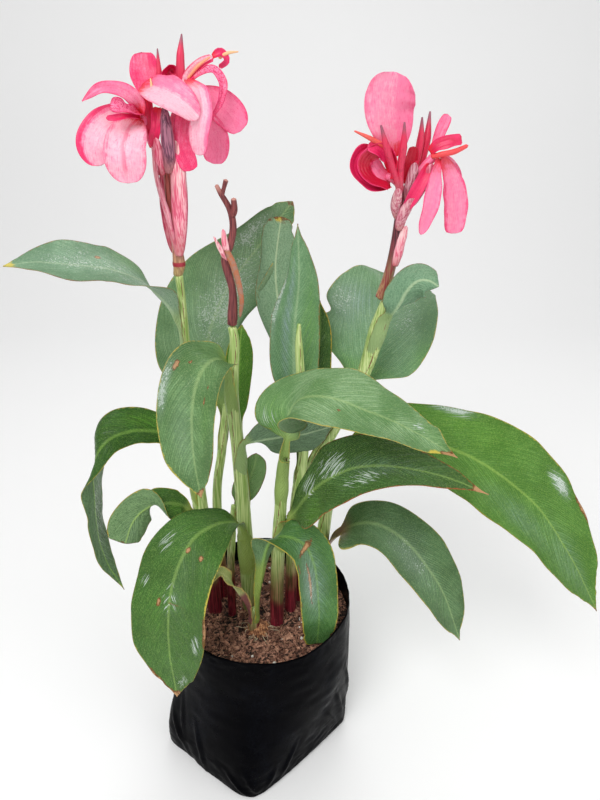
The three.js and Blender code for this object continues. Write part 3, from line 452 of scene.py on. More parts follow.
def blade_group(specks, veins):
    """The skin of a leaf, from its sheath and stalk to its blade, upper side and under side."""
    green = (0.05, 0.16, 0.04, 1)
    group, make, given, result = effect_group(
        "leaf skin",
        {
            "Place": "", "Mark": "", "Coat": "", "Tint": "", "Upper": green, "Deep": green,
            "Under": green, "Rib": green, "Stalk": green, "Margin": green,
            "Margin Width": 0.0015, "Sheen": 0.2,
        },
        {"Colour": tuple, "Roughness": float, "Height": float},
    )
    place, mark, coat = given["Place"], given["Mark"], given["Coat"]
    s = make.parts(place)[1]
    under, _, painted_glints = make.parts(mark)
    wax, yellow, brown = make.parts(coat)
    fresh, dark, blue = make.parts(given["Tint"])
    vein = make.effect(veins, Place=place, Mark=mark)

    cloud = make.between(make.lumps(34, 3, 0.5), 0.38, 0.64)
    colour = make.blend(make.product(cloud, 0.85), given["Upper"], given["Deep"])
    soft = make.product(make.maths("SUBTRACT", make.lumps(55, 3, 0.6), 0.5), 0.7)
    # Fresh green, dark and bluish patches. The dark ones are deeper green, and painted shade where a leaf
    # folds or lies under others; the bluish ones are grey-blue wax with painted sheen.
    patches = ((fresh, (98, 158, 54)), (dark, (28, 66, 32)), (blue, (146, 166, 178)))
    for strength, tint in patches:
        part = make.between(make.maths("ADD", strength, make.product(strength, soft)), 0.1, 1, 0, 0.85)
        colour = make.blend(part, colour, tint)
    colour = make.blend(make.product(vein["Bands"], 0.36), colour, given["Deep"])
    colour = make.blend(make.product(vein["Ridges"], 0.42), colour, given["Deep"])
    streaks = make.between(vein["Flecks"], 0.42, 0.62)
    colour = make.blend(make.product(streaks, 0.5), colour, given["Deep"])
    grain = make.lumps(760, 4, 0.75)
    dim = make.product(make.between(grain, 0.5, 0.62), 0.5)
    colour = make.blend(dim, colour, given["Deep"])
    clear = make.product(make.between(grain, 0.4, 0.49, 1, 0), 0.2)
    colour = make.blend(clear, colour, given["Rib"])
    colour = make.blend(make.product(vein["Lines"], 0.2), colour, given["Rib"])
    colour = make.blend(make.product(vein["Midrib"], 0.3), colour, given["Rib"])
    below = make.blend(make.product(vein["Lines"], 0.35), given["Under"], given["Upper"])
    below = make.blend(make.product(streaks, 0.3), below, given["Deep"])
    below = make.blend(dim, below, given["Deep"])
    below = make.blend(make.product(clear, 0.6), below, given["Rib"])
    below = make.blend(make.product(vein["Midrib"], 0.6), below, given["Rib"])
    colour = make.blend(under, colour, below)
    colour = make.blend(make.between(s, -0.02, 0.1, 1, 0), colour, given["Stalk"])

    ragged = make.maths("ADD", vein["Margin"], make.product(make.lumps(260, 2), 0.003))
    edge = make.between(
        ragged, make.maths("ADD", given["Margin Width"], 0.0008),
        make.maths("ADD", given["Margin Width"], 0.0021), 1, 0,
    )
    colour = make.blend(make.product(edge, 0.85), colour, given["Margin"])
    torn = make.product(make.maths("SUBTRACT", make.lumps(330, 4, 0.65), 0.5), 1.1)
    yellowed = make.between(make.maths("ADD", yellow, torn), 0.3, 0.75)
    colour = make.blend(yellowed, colour, (214, 196, 84))
    dried = make.between(make.maths("ADD", brown, torn), 0.6, 0.8)
    rim = make.between(make.maths("ADD", brown, torn), 0.38, 0.56)
    colour = make.blend(make.product(rim, 0.85), colour, (122, 66, 34))
    colour = make.blend(dried, colour, (190, 146, 104))

    # Wax bloom as a pale film and white specks; where wax patches lie over glints they are painted sheen.
    speck = make.effect(specks, Scale=640.0, Amount=make.product(wax, 0.72))["Mask"]
    film = make.product(make.between(wax, 0.15, 1), 0.3)
    colour = make.blend(film, colour, (168, 184, 178))
    white = make.product(speck, make.between(wax, 0.02, 0.7, 0, 0.6))
    colour = make.blend(white, colour, (206, 218, 208))
    # Painted highlights: crisp white glints along the veins, strongest in the leaf's glint patches.
    fleck = make.maths("ADD", make.product(vein["Flecks"], 0.85), make.product(grain, 0.15))
    fleck = make.between(make.maths("ADD", fleck, make.product(painted_glints, 0.1)), 0.6, 0.63)
    glint = make.product(fleck, make.between(painted_glints, 0.05, 0.35, 0, 0.6))
    colour = make.blend(glint, colour, (230, 240, 236))
    make.put(result["Colour"], colour)

    gloss = make.between(make.lumps(90, 2), 0.3, 0.7, 0.34, 0.52)
    gloss = make.maths("SUBTRACT", gloss, make.product(given["Sheen"], 0.2))
    rough = make.maths("ADD", gloss, make.product(make.maths("MAXIMUM", dried, white), 0.35))
    make.put(result["Roughness"], make.maths("MAXIMUM", rough, 0.14))
    height = make.maths("ADD", make.product(vein["Lines"], 0.0001), make.product(white, 0.00008))
    height = make.maths("ADD", height, make.product(vein["Ridges"], 0.0003))
    bumps = make.product(make.lumps(420, 2), 0.0001)
    make.put(result["Height"], make.maths("ADD", height, bumps))
    return group


def new_finish(name):
    """A new material, the recipe of its nodes and the inputs of its surface."""
    material = bpy.data.materials.new(name)
    material.use_nodes = True
    tree = material.node_tree
    return material, Recipe(tree), tree.nodes["Principled BSDF"].inputs


def finish(name, colour, rough, height=None, **constants):
    """A finish from a colour, a roughness and the height of its fine relief in metres."""
    material, make, surface = new_finish(name)
    for label, part in (("Base Color", colour), ("Roughness", rough)):
        make.put(surface[label], part(make) if callable(part) else part)
    if height:
        make.put(surface["Normal"], make.bump(height(make)))
    for label, value in constants.items():
        surface[label.replace("_", " ")].default_value = value
    return material


SPECKS = specks_group()
VEINS = veins_group()
BLADE = blade_group(SPECKS, VEINS)


def leaf_finish(name, upper, deep, under, rib, stalk, margin, width, sheen):
    """One leaf's skin. Colours as they look on a screen; width is its dry margin in mm."""
    material, make, surface = new_finish(name)
    vectors = {
        label: make.node("Attribute", attribute_name=label.lower()).outputs["Vector"]
        for label in ("Place", "Mark", "Coat", "Tint")
    }
    skin = make.effect(
        BLADE, **vectors, Upper=shown(*upper), Deep=shown(*deep), Under=shown(*under),
        Rib=shown(*rib), Stalk=shown(*stalk), Margin=shown(*margin), Margin_Width=width * MM,
        Sheen=sheen,
    )
    make.put(surface["Base Color"], skin["Colour"])
    make.put(surface["Roughness"], skin["Roughness"])
    make.put(surface["Normal"], make.bump(skin["Height"]))
    surface["Specular IOR Level"].default_value = 0.18
    return material


def shoot_colour(make):
    """Maroon at the foot, yellow-green above, with the brown edges of the sheaths."""
    east, _, height = make.parts(make.where())
    seam = make.read("mark")[0]
    ribs = make.between(make.lumps(700, 2, 0.5, (1, 1, 0.03)), 0.35, 0.65)
    green = make.blend(ribs, (142, 174, 86), (208, 224, 152))
    red = make.blend(ribs, (70, 12, 22), (150, 50, 58))
    edge = make.maths("ADD", height, make.product(make.maths("SUBTRACT", make.lumps(30, 2), 0.5), 0.07))
    pale_one = make.between(make.maths("ABSOLUTE", make.maths("ADD", east, 0.014)), 0.010, 0.014, 1, 0)
    edge = make.maths("ADD", edge, make.product(pale_one, 0.055))
    foot = make.blend(ribs, (92, 14, 30), (156, 46, 66))
    red = make.blend(make.between(height, 0.15, 0.19, 1, 0), red, foot)
    colour = make.blend(make.between(edge, 0.185, 0.25, 1, 0), green, red)
    spots = make.between(make.lumps(260, 3, 0.6, (1, 1, 0.5)), 0.66, 0.72)
    colour = make.blend(make.product(spots, 0.7), colour, (128, 78, 52))
    ragged = make.maths("ADD", seam, make.product(make.maths("SUBTRACT", make.lumps(400, 2), 0.5), 0.5))
    colour = make.blend(make.between(ragged, 0.4, 0.7), colour, (118, 62, 44))
    specks = make.effect(SPECKS, Scale=600.0, Amount=0.3)["Mask"]
    return make.blend(make.product(specks, 0.5), colour, (216, 216, 190))


def stalk_colour(low, high, streak):
    """Flower stalk streaked up its length; its buds are coral with a grey-purple point."""
    def colour(make):
        height = make.parts(make.where())[2]
        seam, _, tone = make.read("mark")
        lines = make.lumps(800, 2, 0.6, (1, 1, 0.05))
        streaks = make.between(lines, 0.38, 0.62)
        foot = make.blend(streaks, low, (176, 140, 96))
        stem = make.blend(streaks, high, streak)
        whole = make.blend(make.between(height, 0.535, 0.575), foot, stem)
        whole = make.blend(make.between(seam, 0.3, 0.7), whole, (166, 44, 60))
        bud = make.blend(make.between(tone, 0.05, 0.3), (200, 84, 104), (224, 48, 88))
        bud = make.blend(make.product(make.between(lines, 0.5, 0.7), 0.6), bud, (176, 24, 62))
        bud = make.blend(make.between(tone, 0.8, 0.97), bud, (156, 90, 108))
        return make.blend(make.between(tone, -0.02, 0.06), whole, bud)
    return colour


def spent_colour(make):
    """Maroon forks of a stalk that has flowered, their ends pinkish beige and dry."""
    seam, _, tone = make.read("mark")
    lines = make.lumps(700, 3, 0.6, (1, 1, 0.08))
    maroon = make.blend(make.between(lines, 0.35, 0.65), (88, 32, 40), (140, 70, 68))
    colour = make.blend(make.between(tone, 0.93, 1), maroon, (196, 140, 128))
    return make.blend(make.between(seam, 0.3, 0.7), colour, (140, 46, 44))


def bract_colour(make):
    """Papery bract streaked pink, rosy, cream or grey-purple by its strengths."""
    v, s, _ = make.read("place")
    rose, pale, dark = make.read("coat")
    lines = make.lumps(900, 2, 0.6, (1, 1, 0.06))
    streaks = make.between(lines, 0.4, 0.6)
    broad = make.between(make.lumps(260, 2, 0.5, (1, 1, 0.1)), 0.4, 0.6)
    colour = make.blend(streaks, (255, 192, 200), (222, 96, 126))
    cream = make.blend(streaks, (255, 232, 224), (236, 132, 152))
    creamy = make.product(pale, make.between(broad, 0, 1, 0.6, 1), make.between(s, 0.35, 0.7, 0.3, 1))
    colour = make.blend(creamy, colour, cream)
    pink = make.blend(streaks, (246, 104, 148), (222, 34, 92))
    rosy = make.product(rose, make.between(broad, 0, 1, 0.4, 1), make.between(s, 0.5, 0.8, 1, 0.4))
    colour = make.blend(rosy, colour, pink)
    grey = make.blend(streaks, (172, 112, 134), (96, 48, 74))
    colour = make.blend(dark, colour, grey)
    foot = make.between(make.maths("ADD", s, make.product(lines, 0.3)), 0.16, 0.5, 1, 0)
    colour = make.blend(make.product(foot, 0.6), colour, (186, 112, 106))
    edge = make.between(make.maths("ABSOLUTE", v), 0.72, 0.98)
    return make.blend(make.product(edge, 0.6), colour, (176, 76, 104))


def dry_bract_colour(make):
    """Bract that has dried orange-brown."""
    cloud = make.lumps(300, 3, 0.6)
    return make.blend(make.between(cloud, 0.35, 0.65), (178, 106, 70), (160, 122, 106))


def petal_colour(make):
    """Pale pink to deep rose by the petal's tone, with fine lines along it and a red throat."""
    v, s, half = make.read("place")
    _, run, tone = make.read("mark")
    edge, streak, dots = make.read("coat")
    side, tip, split = make.read("tint")
    across = make.maths("ABSOLUTE", v)
    cloud = make.lumps(300, 4, 0.65)
    along = make.node("CombineXYZ", {0: make.product(v, half), 1: make.product(run, 0.07), 2: tone})
    inputs = {"Vector": along.outputs[0], "Scale": 1500.0, "Detail": 2.0, "Roughness": 0.6}
    lines = make.node("TexNoise", inputs).outputs[0]
    mottle = make.maths("SUBTRACT", make.maths("ADD", cloud, lines), 1.0)
    beyond = make.maths("SUBTRACT", make.product(v, make.maths("SIGN", side)), split)
    leaning = make.between(make.maths("ADD", beyond, make.product(mottle, 0.3)), 0, 0.35)
    level = make.maths("ADD", tone, make.product(make.maths("ABSOLUTE", side), leaning))
    level = make.maths("ADD", level, make.product(tip, s))
    level = make.maths("ADD", level, make.product(mottle, 0.42))
    pale = make.blend(make.between(level, 0, 0.42), (247, 188, 204), (248, 124, 164))
    rose = make.blend(make.between(level, 0.42, 0.78), pale, (236, 44, 104))
    deep = make.blend(make.between(level, 0.8, 1.15), rose, (196, 8, 50))
    colour = make.blend(make.between(level, -0.45, -0.05, 1, 0), deep, (252, 244, 252))
    ragged = make.maths("ADD", across, make.product(mottle, 0.5))
    vein = make.product(make.between(lines, 0.56, 0.7), make.between(cloud, 0.45, 0.6), 0.4)
    colour = make.blend(vein, colour, (236, 64, 122))
    rim = make.product(make.between(ragged, 0.72, 1.0), edge)
    colour = make.blend(rim, colour, (238, 52, 116))
    off = make.maths("SUBTRACT", make.maths("ADD", v, make.product(mottle, 0.3)), 0.1)
    off = make.maths("ABSOLUTE", off)
    band = make.product(make.between(off, 0.03, 0.17, 1, 0), make.between(s, 0.8, 1.0, 1, 0))
    colour = make.blend(make.product(band, streak), colour, (226, 58, 110))
    dot = make.between(make.lumps(1000, 2, 0.5), 0.5, 0.6)
    colour = make.blend(make.product(dot, dots), colour, (210, 18, 92))
    throat = make.between(make.maths("ADD", s, make.product(mottle, 0.35)), 0.05, 0.24, 1, 0)
    return make.blend(make.product(throat, 0.9), colour, (226, 24, 52))


def anther_colour(make):
    """Yellow pollen, or a pale style that reddens, by its tone."""
    tone = make.read("mark")[2]
    grain = make.lumps(900, 2)
    cream = make.blend(grain, (255, 224, 176), (246, 186, 120))
    return make.blend(tone, cream, make.blend(grain, (248, 92, 84), (226, 50, 72)))


def film_colour(make):
    """Black polythene, dulled in patches by grey dust."""
    cloud = make.lumps(22, 4, 0.6, (1, 1, 0.6))
    dust = make.product(make.between(cloud, 0.44, 0.7), make.between(make.lumps(500, 3), 0.3, 0.7))
    colour = make.blend(make.product(dust, 0.1), (3, 3, 5), (44, 50, 64))
    specks = make.effect(SPECKS, Scale=420.0, Amount=0.2)["Mask"]
    return make.blend(make.product(specks, 0.07), colour, (110, 108, 104))


def soil_colour(make):
    """Coir potting mix: brown crumbs, tan where dry, with painted shade darkening its pits."""
    depth = make.read("mark")[2]
    crumbs = make.lumps(330, 4, 0.7)
    colour = make.blend(make.between(crumbs, 0.42, 0.64), (30, 14, 10), (204, 148, 122))
    colour = make.blend(make.between(make.lumps(60, 3), 0.5, 0.74, 0, 0.8), colour, (84, 48, 36))
    # Painted shade: near black where the crumbs lie low, in the pits.
    return make.blend(make.between(depth, 0.0, 0.5, 0.9, 0), colour, (14, 8, 6))


def fibre_colour(make):
    """Chips and fibres of coir; tone says how dry each one is."""
    tone = make.read("mark")[2]
    grain = make.between(make.lumps(500, 3), 0.3, 0.7)
    dark = make.blend(grain, (34, 16, 12), (112, 68, 52))
    light = make.blend(grain, (156, 104, 82), (226, 176, 148))
    return make.blend(tone, dark, light)


def rootstock_colour(make):
    """Rootstock with a yellow-orange fuzz, darker brown where its relief lies low."""
    height = make.read("mark")[2]
    grain = make.lumps(450, 4, 0.7)
    colour = make.blend(make.between(grain, 0.35, 0.62), (138, 84, 52), (222, 160, 112))
    return make.blend(make.between(height, 0.2, 0.6, 0.7, 0), colour, (84, 46, 30))


def ribbed(scale, depth, stretch):
    """Relief of fine lines or grain."""
    return lambda make: make.product(make.lumps(scale, 3, 0.6, stretch), depth)


FINISHES = {
    "film": finish("black film", film_colour, lambda make: make.between(
        make.lumps(45, 4, 0.6), 0.35, 0.68, 0.26, 0.48), ribbed(260, 0.00012, (1, 1, 0.5)),
        Specular_IOR_Level=0.1, IOR=1.2),
    "soil": finish("coir mix", soil_colour, 0.92, ribbed(420, 0.0012, None)),
    "fibre": finish("coir chips and fibres", fibre_colour, 0.9, ribbed(900, 0.0003, None)),
    "perlite": finish("perlite", lambda make: make.blend(
        make.lumps(700, 3), (255, 252, 245), (206, 198, 186)), 0.85,
        ribbed(900, 0.0004, None)),
    "rootstock": finish("rootstock", rootstock_colour, 0.85, ribbed(500, 0.0012, None)),
    "root": finish("young roots", lambda make: make.blend(
        make.lumps(300, 2), (236, 224, 196), (196, 170, 128)), 0.6),
    "shoot": finish("ribbed shoot", shoot_colour, 0.42, ribbed(700, 0.0003, (1, 1, 0.03))),
    "olive stalk": finish("olive flower stalk", stalk_colour(
        (190, 176, 112), (206, 132, 118), (124, 78, 64)), 0.4, ribbed(800, 0.0002, (1, 1, 0.05))),
    "maroon stalk": finish("maroon flower stalk", stalk_colour(
        (150, 58, 62), (132, 56, 66), (70, 26, 36)), 0.35, ribbed(800, 0.0002, (1, 1, 0.05))),
    "spent stalk": finish("spent stalk", spent_colour, 0.6, ribbed(700, 0.0004, (1, 1, 0.08))),
    "bract": finish("papery bract", bract_colour, 0.5, ribbed(900, 0.0002, (1, 1, 0.06))),
    "dry_bract": finish("dried bract", dry_bract_colour, 0.7, ribbed(400, 0.0004, None)),
    "petal": finish("petal", petal_colour, 0.42, ribbed(500, 0.00012, None)),
    "anther": finish("anthers and styles", anther_colour, 0.5),
}


# ---------------- leaves

SHEATH = {"foot": -0.7, "room": 1.0, "wrap": 138, "hug": 80, "top": 66, "leave": 14}
LEAF = {
    "thick": 0.9, "edge": 0.45, "rib": 1.3, "petiole_bend": 74, "ripples": 5, "narrowest": 0.4,
    "large": 23, "step": 1.8, "ragged": 0.18, "frill": 0.8, "frill_length": 41.8, "veins": 11.5,
}
# What holds for a leaf whose own entry doesn't say otherwise.
USUAL_LEAF = dict(
    widest=0.5, full=1, wave=(1, 1), sides=(1, 1), twist=0, opening=0.3, shoulder=0.2, point=0.3,
    stalk=5.5, rolls=(), tears=(), look={}, wax=0.12, tip=0.5, painted_glints=(), waxy=(), yellow=(),
    brown=(), fresh=(), dark=(), blue=(),
)


def shoot_at(name, z):
    """Middle of a shoot and its radius at a height."""
    shoot = SHOOTS[name]
    path = Path(shoot["points"])
    length = float(np.interp(z, path.points[:, 2], path.lengths))
    return path.point(length), float(path.value(shoot["radii"], length))


def leaf_rows(leaf, v):
    """Rows of a leaf: the sheath round its shoot, the channelled petiole, and the blade."""
    low, high = leaf["clasp"]
    side = math.radians(leaf["side"])
    outward = np.array([math.cos(side), math.sin(side), 0])
    clasp, reaches = [], []
    for share in (0, 0.5, 1):
        middle, radius = shoot_at(leaf["shoot"], mix(low, high, share))
        reach = radius + mix(SHEATH["foot"], SHEATH["room"], min(1, 2 * share))
        reaches.append(reach)
        clasp.append(middle + outward * reach)
    path = Path(clasp + leaf["spine"])
    free = path.knots[2]
    start = free + leaf["petiole"]
    blade = path.total - start
    large = leaf["half"] > LEAF["large"]
    length = np.linspace(0, path.total, round(path.total / LEAF["step"]) + 1)
    s = (length - start) / blade
    on = np.clip(s, 0, 1)
    hold = np.clip(length / free, 0, 1)
    reach = np.interp(hold, [0, 0.5, 1], reaches)
    leave = ease((length - free) / max(leaf["petiole"], SHEATH["leave"]))
    sheath_bend = mix(SHEATH["wrap" if large else "hug"], SHEATH["top"], hold)
    sheath_half = reach * np.radians(sheath_bend)
    opened = ease(s / leaf["opening"])
    stalk = mix(sheath_half, leaf["stalk"], leave) * (1 - 0.8 * on)
    shoulder = mix(0.45, 1, ease(s / leaf["shoulder"]))
    spread = np.where(s > 0, leaf["half"] * shoulder * outline(on, leaf["widest"], leaf["full"]), 0)
    drawn = 1 - leaf["point"] * ease((s - 0.72) / 0.28)
    spread = spread * drawn * np.clip((1 - on) / 0.12, 0, 1) ** min(0.5, 2 * leaf["point"])
    half = np.maximum(LEAF["narrowest"], np.hypot(stalk * (1 - opened), spread))
    narrow = mix(sheath_bend, LEAF["petiole_bend"], leave)
    along = path.tangent(length)[:, None] + 0 * v[..., None]
    turned = s[:, None] - leaf["twist"] * v
    facing = mix(-outward, face_at(leaf["face"], turned), leave[:, None, None])
    face = square_to(facing, along)
    ripple = np.sin(np.pi * LEAF["ripples"] * s) * opened * (1 - on**4)
    return {
        "point": path.point(length), "across": np.cross(along, face), "face": face,
        "half": half, "length": length, "s": s, "opened": opened, "leave": leave,
        "bend": [mix(narrow, bend, opened) for bend in leaf["bend"]],
        "wave": [leaf["wave"][0] * ripple, -leaf["wave"][1] * ripple],
    }


def patch(spots, s, v):
    """Soft marks on a blade: share along, place across, reach along and across, strength."""
    total = np.zeros(np.broadcast(s, v).shape)
    for along, across, reach_s, reach_v, strength in spots:
        off = ((s - along) / reach_s) ** 2 + ((v - across) / reach_v) ** 2
        total = np.maximum(total, strength * np.exp(-off))
    return total


def grow_leaf(name, leaf, seed):
    v = columns(49 if leaf["half"] > LEAF["large"] else 35)[None]
    rows = leaf_rows(leaf, v)
    s, length = rows["s"][:, None], rows["length"][:, None]
    on, opened, half = np.clip(s, 0, 1), rows["opened"][:, None], rows["half"][:, None]
    size = np.abs(v)
    right = v >= 0
    zero = np.zeros_like(v * s)
    pick = lambda pair: np.where(right, pair[1][:, None], pair[0][:, None])
    turn = np.radians(pick(rows["bend"])) * v
    for side, start, end, inner, degrees in leaf["rolls"]:
        share = window(s, start, end, 0.05) * ease((side * v - inner) / 0.3)
        turn = turn + side * np.radians(degrees) * share

    reach = zero + mix(1, np.where(right, *leaf["sides"][::-1]), opened)
    for side, at, width, depth in leaf["tears"]:
        slant = at - 0.1 + 0.1 * size
        bite = depth * np.exp(-(((s - slant) / width) ** 2)) * (side * v > 0)
        reach -= bite * size**1.5
    run = half * v * reach
    grid = np.stack([run, length + 0 * run, 0 * run + seed * 37.0], -1)
    nibble = noise(grid, 5, seed) * ease((s - 0.86) / 0.1) * size**6
    run = run * (1 + LEAF["ragged"] * nibble)

    blade = opened * (1 - on**6)
    phase = np.random.default_rng(seed).uniform(0, 2 * np.pi, 2)
    frill = np.sin(2 * np.pi * length / LEAF["frill_length"] + np.where(right, *phase)) * size**5 * blade
    lift = pick(rows["wave"]) * v**2 + LEAF["frill"] * frill
    lift = lift + blade * (1.1 * noise(grid, 26, seed + 1) + 0.45 * noise(grid, 9, seed + 2))
    vein = (length - half * (1.5 * size + 0.9 * size**2)) / LEAF["veins"]
    pleat = 0.16 * np.cos(2 * np.pi * vein) * window(size, 0.12, 0.9, 0.12) * blade
    groove = 0.5 * np.exp(-((run / 1.3) ** 2)) * rows["leave"][:, None] * (1 - on)
    rib = LEAF["rib"] * np.exp(-((run / 1.5) ** 2)) * rows["leave"][:, None] * (1 - on)
    rows["offset"] = run
    upper, under = sheet_surfaces(
        rows, v, turn, lift, LEAF["thick"], LEAF["edge"], pleat - groove, rib - pleat
    )

    place = np.stack([v + zero, s + zero, half * MM + zero], -1)
    # The third value of mark is the strength of the leaf's painted glints.
    mark = np.stack([zero, length * MM + zero, patch(leaf["painted_glints"], s, v)], -1)
    coat = np.stack([
        leaf["wax"] + patch(leaf["waxy"], s, v),
        patch(leaf["yellow"], s, v),
        patch(leaf["brown"], s, v) + leaf["tip"] * ease((s - 0.93) / 0.07),
        *(patch(leaf[tint], s, v) for tint in ("fresh", "dark", "blue")),
    ], -1)
    shell = Shell()
    shell.sheet(upper, under, place, mark, coat)
    skin = {**SKINS[leaf["skin"]], **leaf["look"]}
    return shell.piece(name, [leaf_finish(name.replace("_", " "), **skin)])


# ---------------- shoots and stalks

# The sheath's edge starts at this share of the height and winds between these angles.
SHOOT = {"ribs": 22, "step": 0.8, "edge_from": 0.35, "edge_turns": (200, 300)}


def grow_shoot(name, shoot, seed):
    """A shoot is rolled sheaths: fine ribs, and a step where an edge winds up round it."""
    foot, top = shoot["points"][0][2], shoot["points"][-1][2]
    low = mix(foot, top, SHOOT["edge_from"])

    def from_edge(angle, z):
        line = np.radians(mix(*SHOOT["edge_turns"], np.clip((z - low) / (top - low), 0, 1)))
        off = (angle - line + np.pi) % (2 * np.pi) - np.pi
        return off, window(z, low, top, 12)

    def relief(angle, z):
        off, on = from_edge(angle, z)
        ribs = 0.14 * np.cos(SHOOT["ribs"] * angle + 0.6 * np.sin(z / 40))
        step = on * SHOOT["step"] * np.exp(-np.maximum(off, 0) / 0.9) * (off > 0)
        lump = np.stack([3 * np.cos(angle), 3 * np.sin(angle), z / 9], -1)
        return ribs + step + 0.25 * noise(lump, 2, seed)

    def seam(angle, z):
        off, on = from_edge(angle, z)
        return on * np.exp(-((off - 0.03) / 0.08) ** 2)

    shell = Shell()
    add_stem(shell, shoot["points"], shoot["radii"], sides=44, step=2.5, relief=relief, seam=seam)
    return shell.piece(name, [FINISHES["shoot"]])


def blade_rows(spine, half, widest, full, claw, face, step):
    """Rows of a petal or bract: a narrow claw that widens into the blade."""
    path = Path(spine)
    length = np.linspace(0, path.total, max(8, round(path.total / step)) + 1)
    s = length / path.total
    along = path.tangent(length)
    faces = [face] * 3 if isinstance(face, tuple) else face
    looking = square_to(face_at(faces, s), along)
    across = np.cross(along, looking)
    return {
        "point": path.point(length), "across": across[:, None], "face": looking[:, None],
        "half": np.maximum(0.4, np.hypot(claw * (1 - s), half * outline(s, widest, full))),
        "s": s, "length": length,
    }


def add_blade(shell, rows, bend, wave, thick, frill, seed, tone, coat, finish=0, count=23):
    """A petal or bract of fine rows, its margins waved, its tip blunt."""
    v = np.linspace(-1, 1, count)[None]
    s, length, half = (rows[key][:, None] for key in ("s", "length", "half"))
    size = np.abs(v)
    turn = np.radians(bend) * v + 0 * s
    phase = np.random.default_rng(seed).uniform(0, 2 * np.pi, 3)
    on = ease(s / 0.25)
    ripple = wave * np.sin(3 * np.pi * s) * v * size
    frills = np.sin(length / 8.5 * np.pi + np.where(v > 0, phase[0], phase[1])) * size**3
    run = half * v
    grid = np.stack([run, length + 0 * run, 0 * run + seed * 31.0], -1)
    lift = ripple + on * (frill * frills + 0.9 * frill * noise(grid, 9, seed))
    crease = 0.35 * np.exp(-((run / 0.9) ** 2)) * (1 - s)
    pleat = 0.1 * np.cos(run * 2.1 + phase[2]) * on
    rows["offset"] = run
    upper, under = sheet_surfaces(
        rows, v, turn, lift, thick, thick * 0.6, pleat - crease, -pleat + 0.3 * crease
    )
    zero = np.zeros_like(run)
    place = np.stack([v + zero, s + zero, half * MM + zero], -1)
    mark = np.stack([zero, length * MM + zero, zero + tone], -1)
    shell.sheet(upper, under, place, mark, zero[..., None] + np.array(coat), finish)


def grow_stalk(name, stalk, seed):
    """Stems and the bracts that cup them. A stem's bud is the share of its length below the bud."""
    shell = Shell()
    for number, stem in enumerate(stalk["stems"]):
        path = Path(stem["points"])
        bud = stem.get("bud")

        def tone(length):
            share = length / path.total
            return share * 0 - 1 if bud is None else (share - bud) / (1 - bud)

        def seam(angle, z):
            total = np.zeros_like(angle)
            for ring in stem.get("rings", []):
                total = np.maximum(total, np.exp(-(((z - ring) / 2.2) ** 2)))
            return total

        def relief(angle, z):
            return 0.1 * np.cos(9 * angle + number) + 0.3 * seam(angle, z)

        add_stem(
            shell, stem["points"], stem["radii"], sides=24, step=1.6, relief=relief, tone=tone,
            seam=seam,
        )
    for number, bract in enumerate(stalk["bracts"]):
        rows = blade_rows(
            bract["spine"], bract["half"], widest=0.5, full=0.8, claw=3, face=bract["inward"], step=1.5
        )
        coat = [bract.get(key, 0) for key in ("rose", "pale", "dark")] + [0, 0, 0]
        add_blade(
            shell, rows, bend=48, wave=0.3, thick=0.5, frill=0.3, seed=seed + number, tone=0,
            coat=coat, finish=2 if bract.get("dry") else 1, count=17,
        )
    finishes = [FINISHES[label] for label in (stalk["finish"], "bract", "dry_bract")]
    return shell.piece(name, finishes)


FRONT = (0, -1, 0.3)
# Strengths of a petal's rosy edge, streak and dots, how its tone leans to a side and to the
# tip, and where across it that side starts.
PETAL_COAT = dict(edge=0.6, streak=0, dots=0, side=0, tip=0, split=0.05)
# What holds for a petal whose own entry doesn't say otherwise.
USUAL_PETAL = dict(widest=0.6, full=0.8, face=FRONT, bend=20, frill=0.5, **PETAL_COAT)


def open_bloom(name, bloom, seed):
    shell = Shell()
    tube = bloom["tube"]
    add_stem(shell, tube["points"], tube["radii"], sides=24, step=1.2, tone=0.5, dome=0.6)
    for number, own in enumerate(bloom["petals"]):
        petal = {**USUAL_PETAL, **own}
        rows = blade_rows(
            petal["spine"], petal["half"], petal["widest"], petal["full"], claw=2.2,
            face=petal["face"], step=1.2,
        )
        add_blade(
            shell, rows, petal["bend"], wave=0.8, thick=0.55, frill=petal["frill"],
            seed=seed + number, tone=petal["tone"], coat=[petal[key] for key in PETAL_COAT],
        )
    for anther in bloom.get("anthers", []):
        add_stem(
            shell, anther["points"], anther["radii"], sides=12, step=0.7, tone=anther["tone"],
            finish=1, dome=0.9,
        )
    return shell.piece(name, [FINISHES["petal"], FINISHES["anther"]])


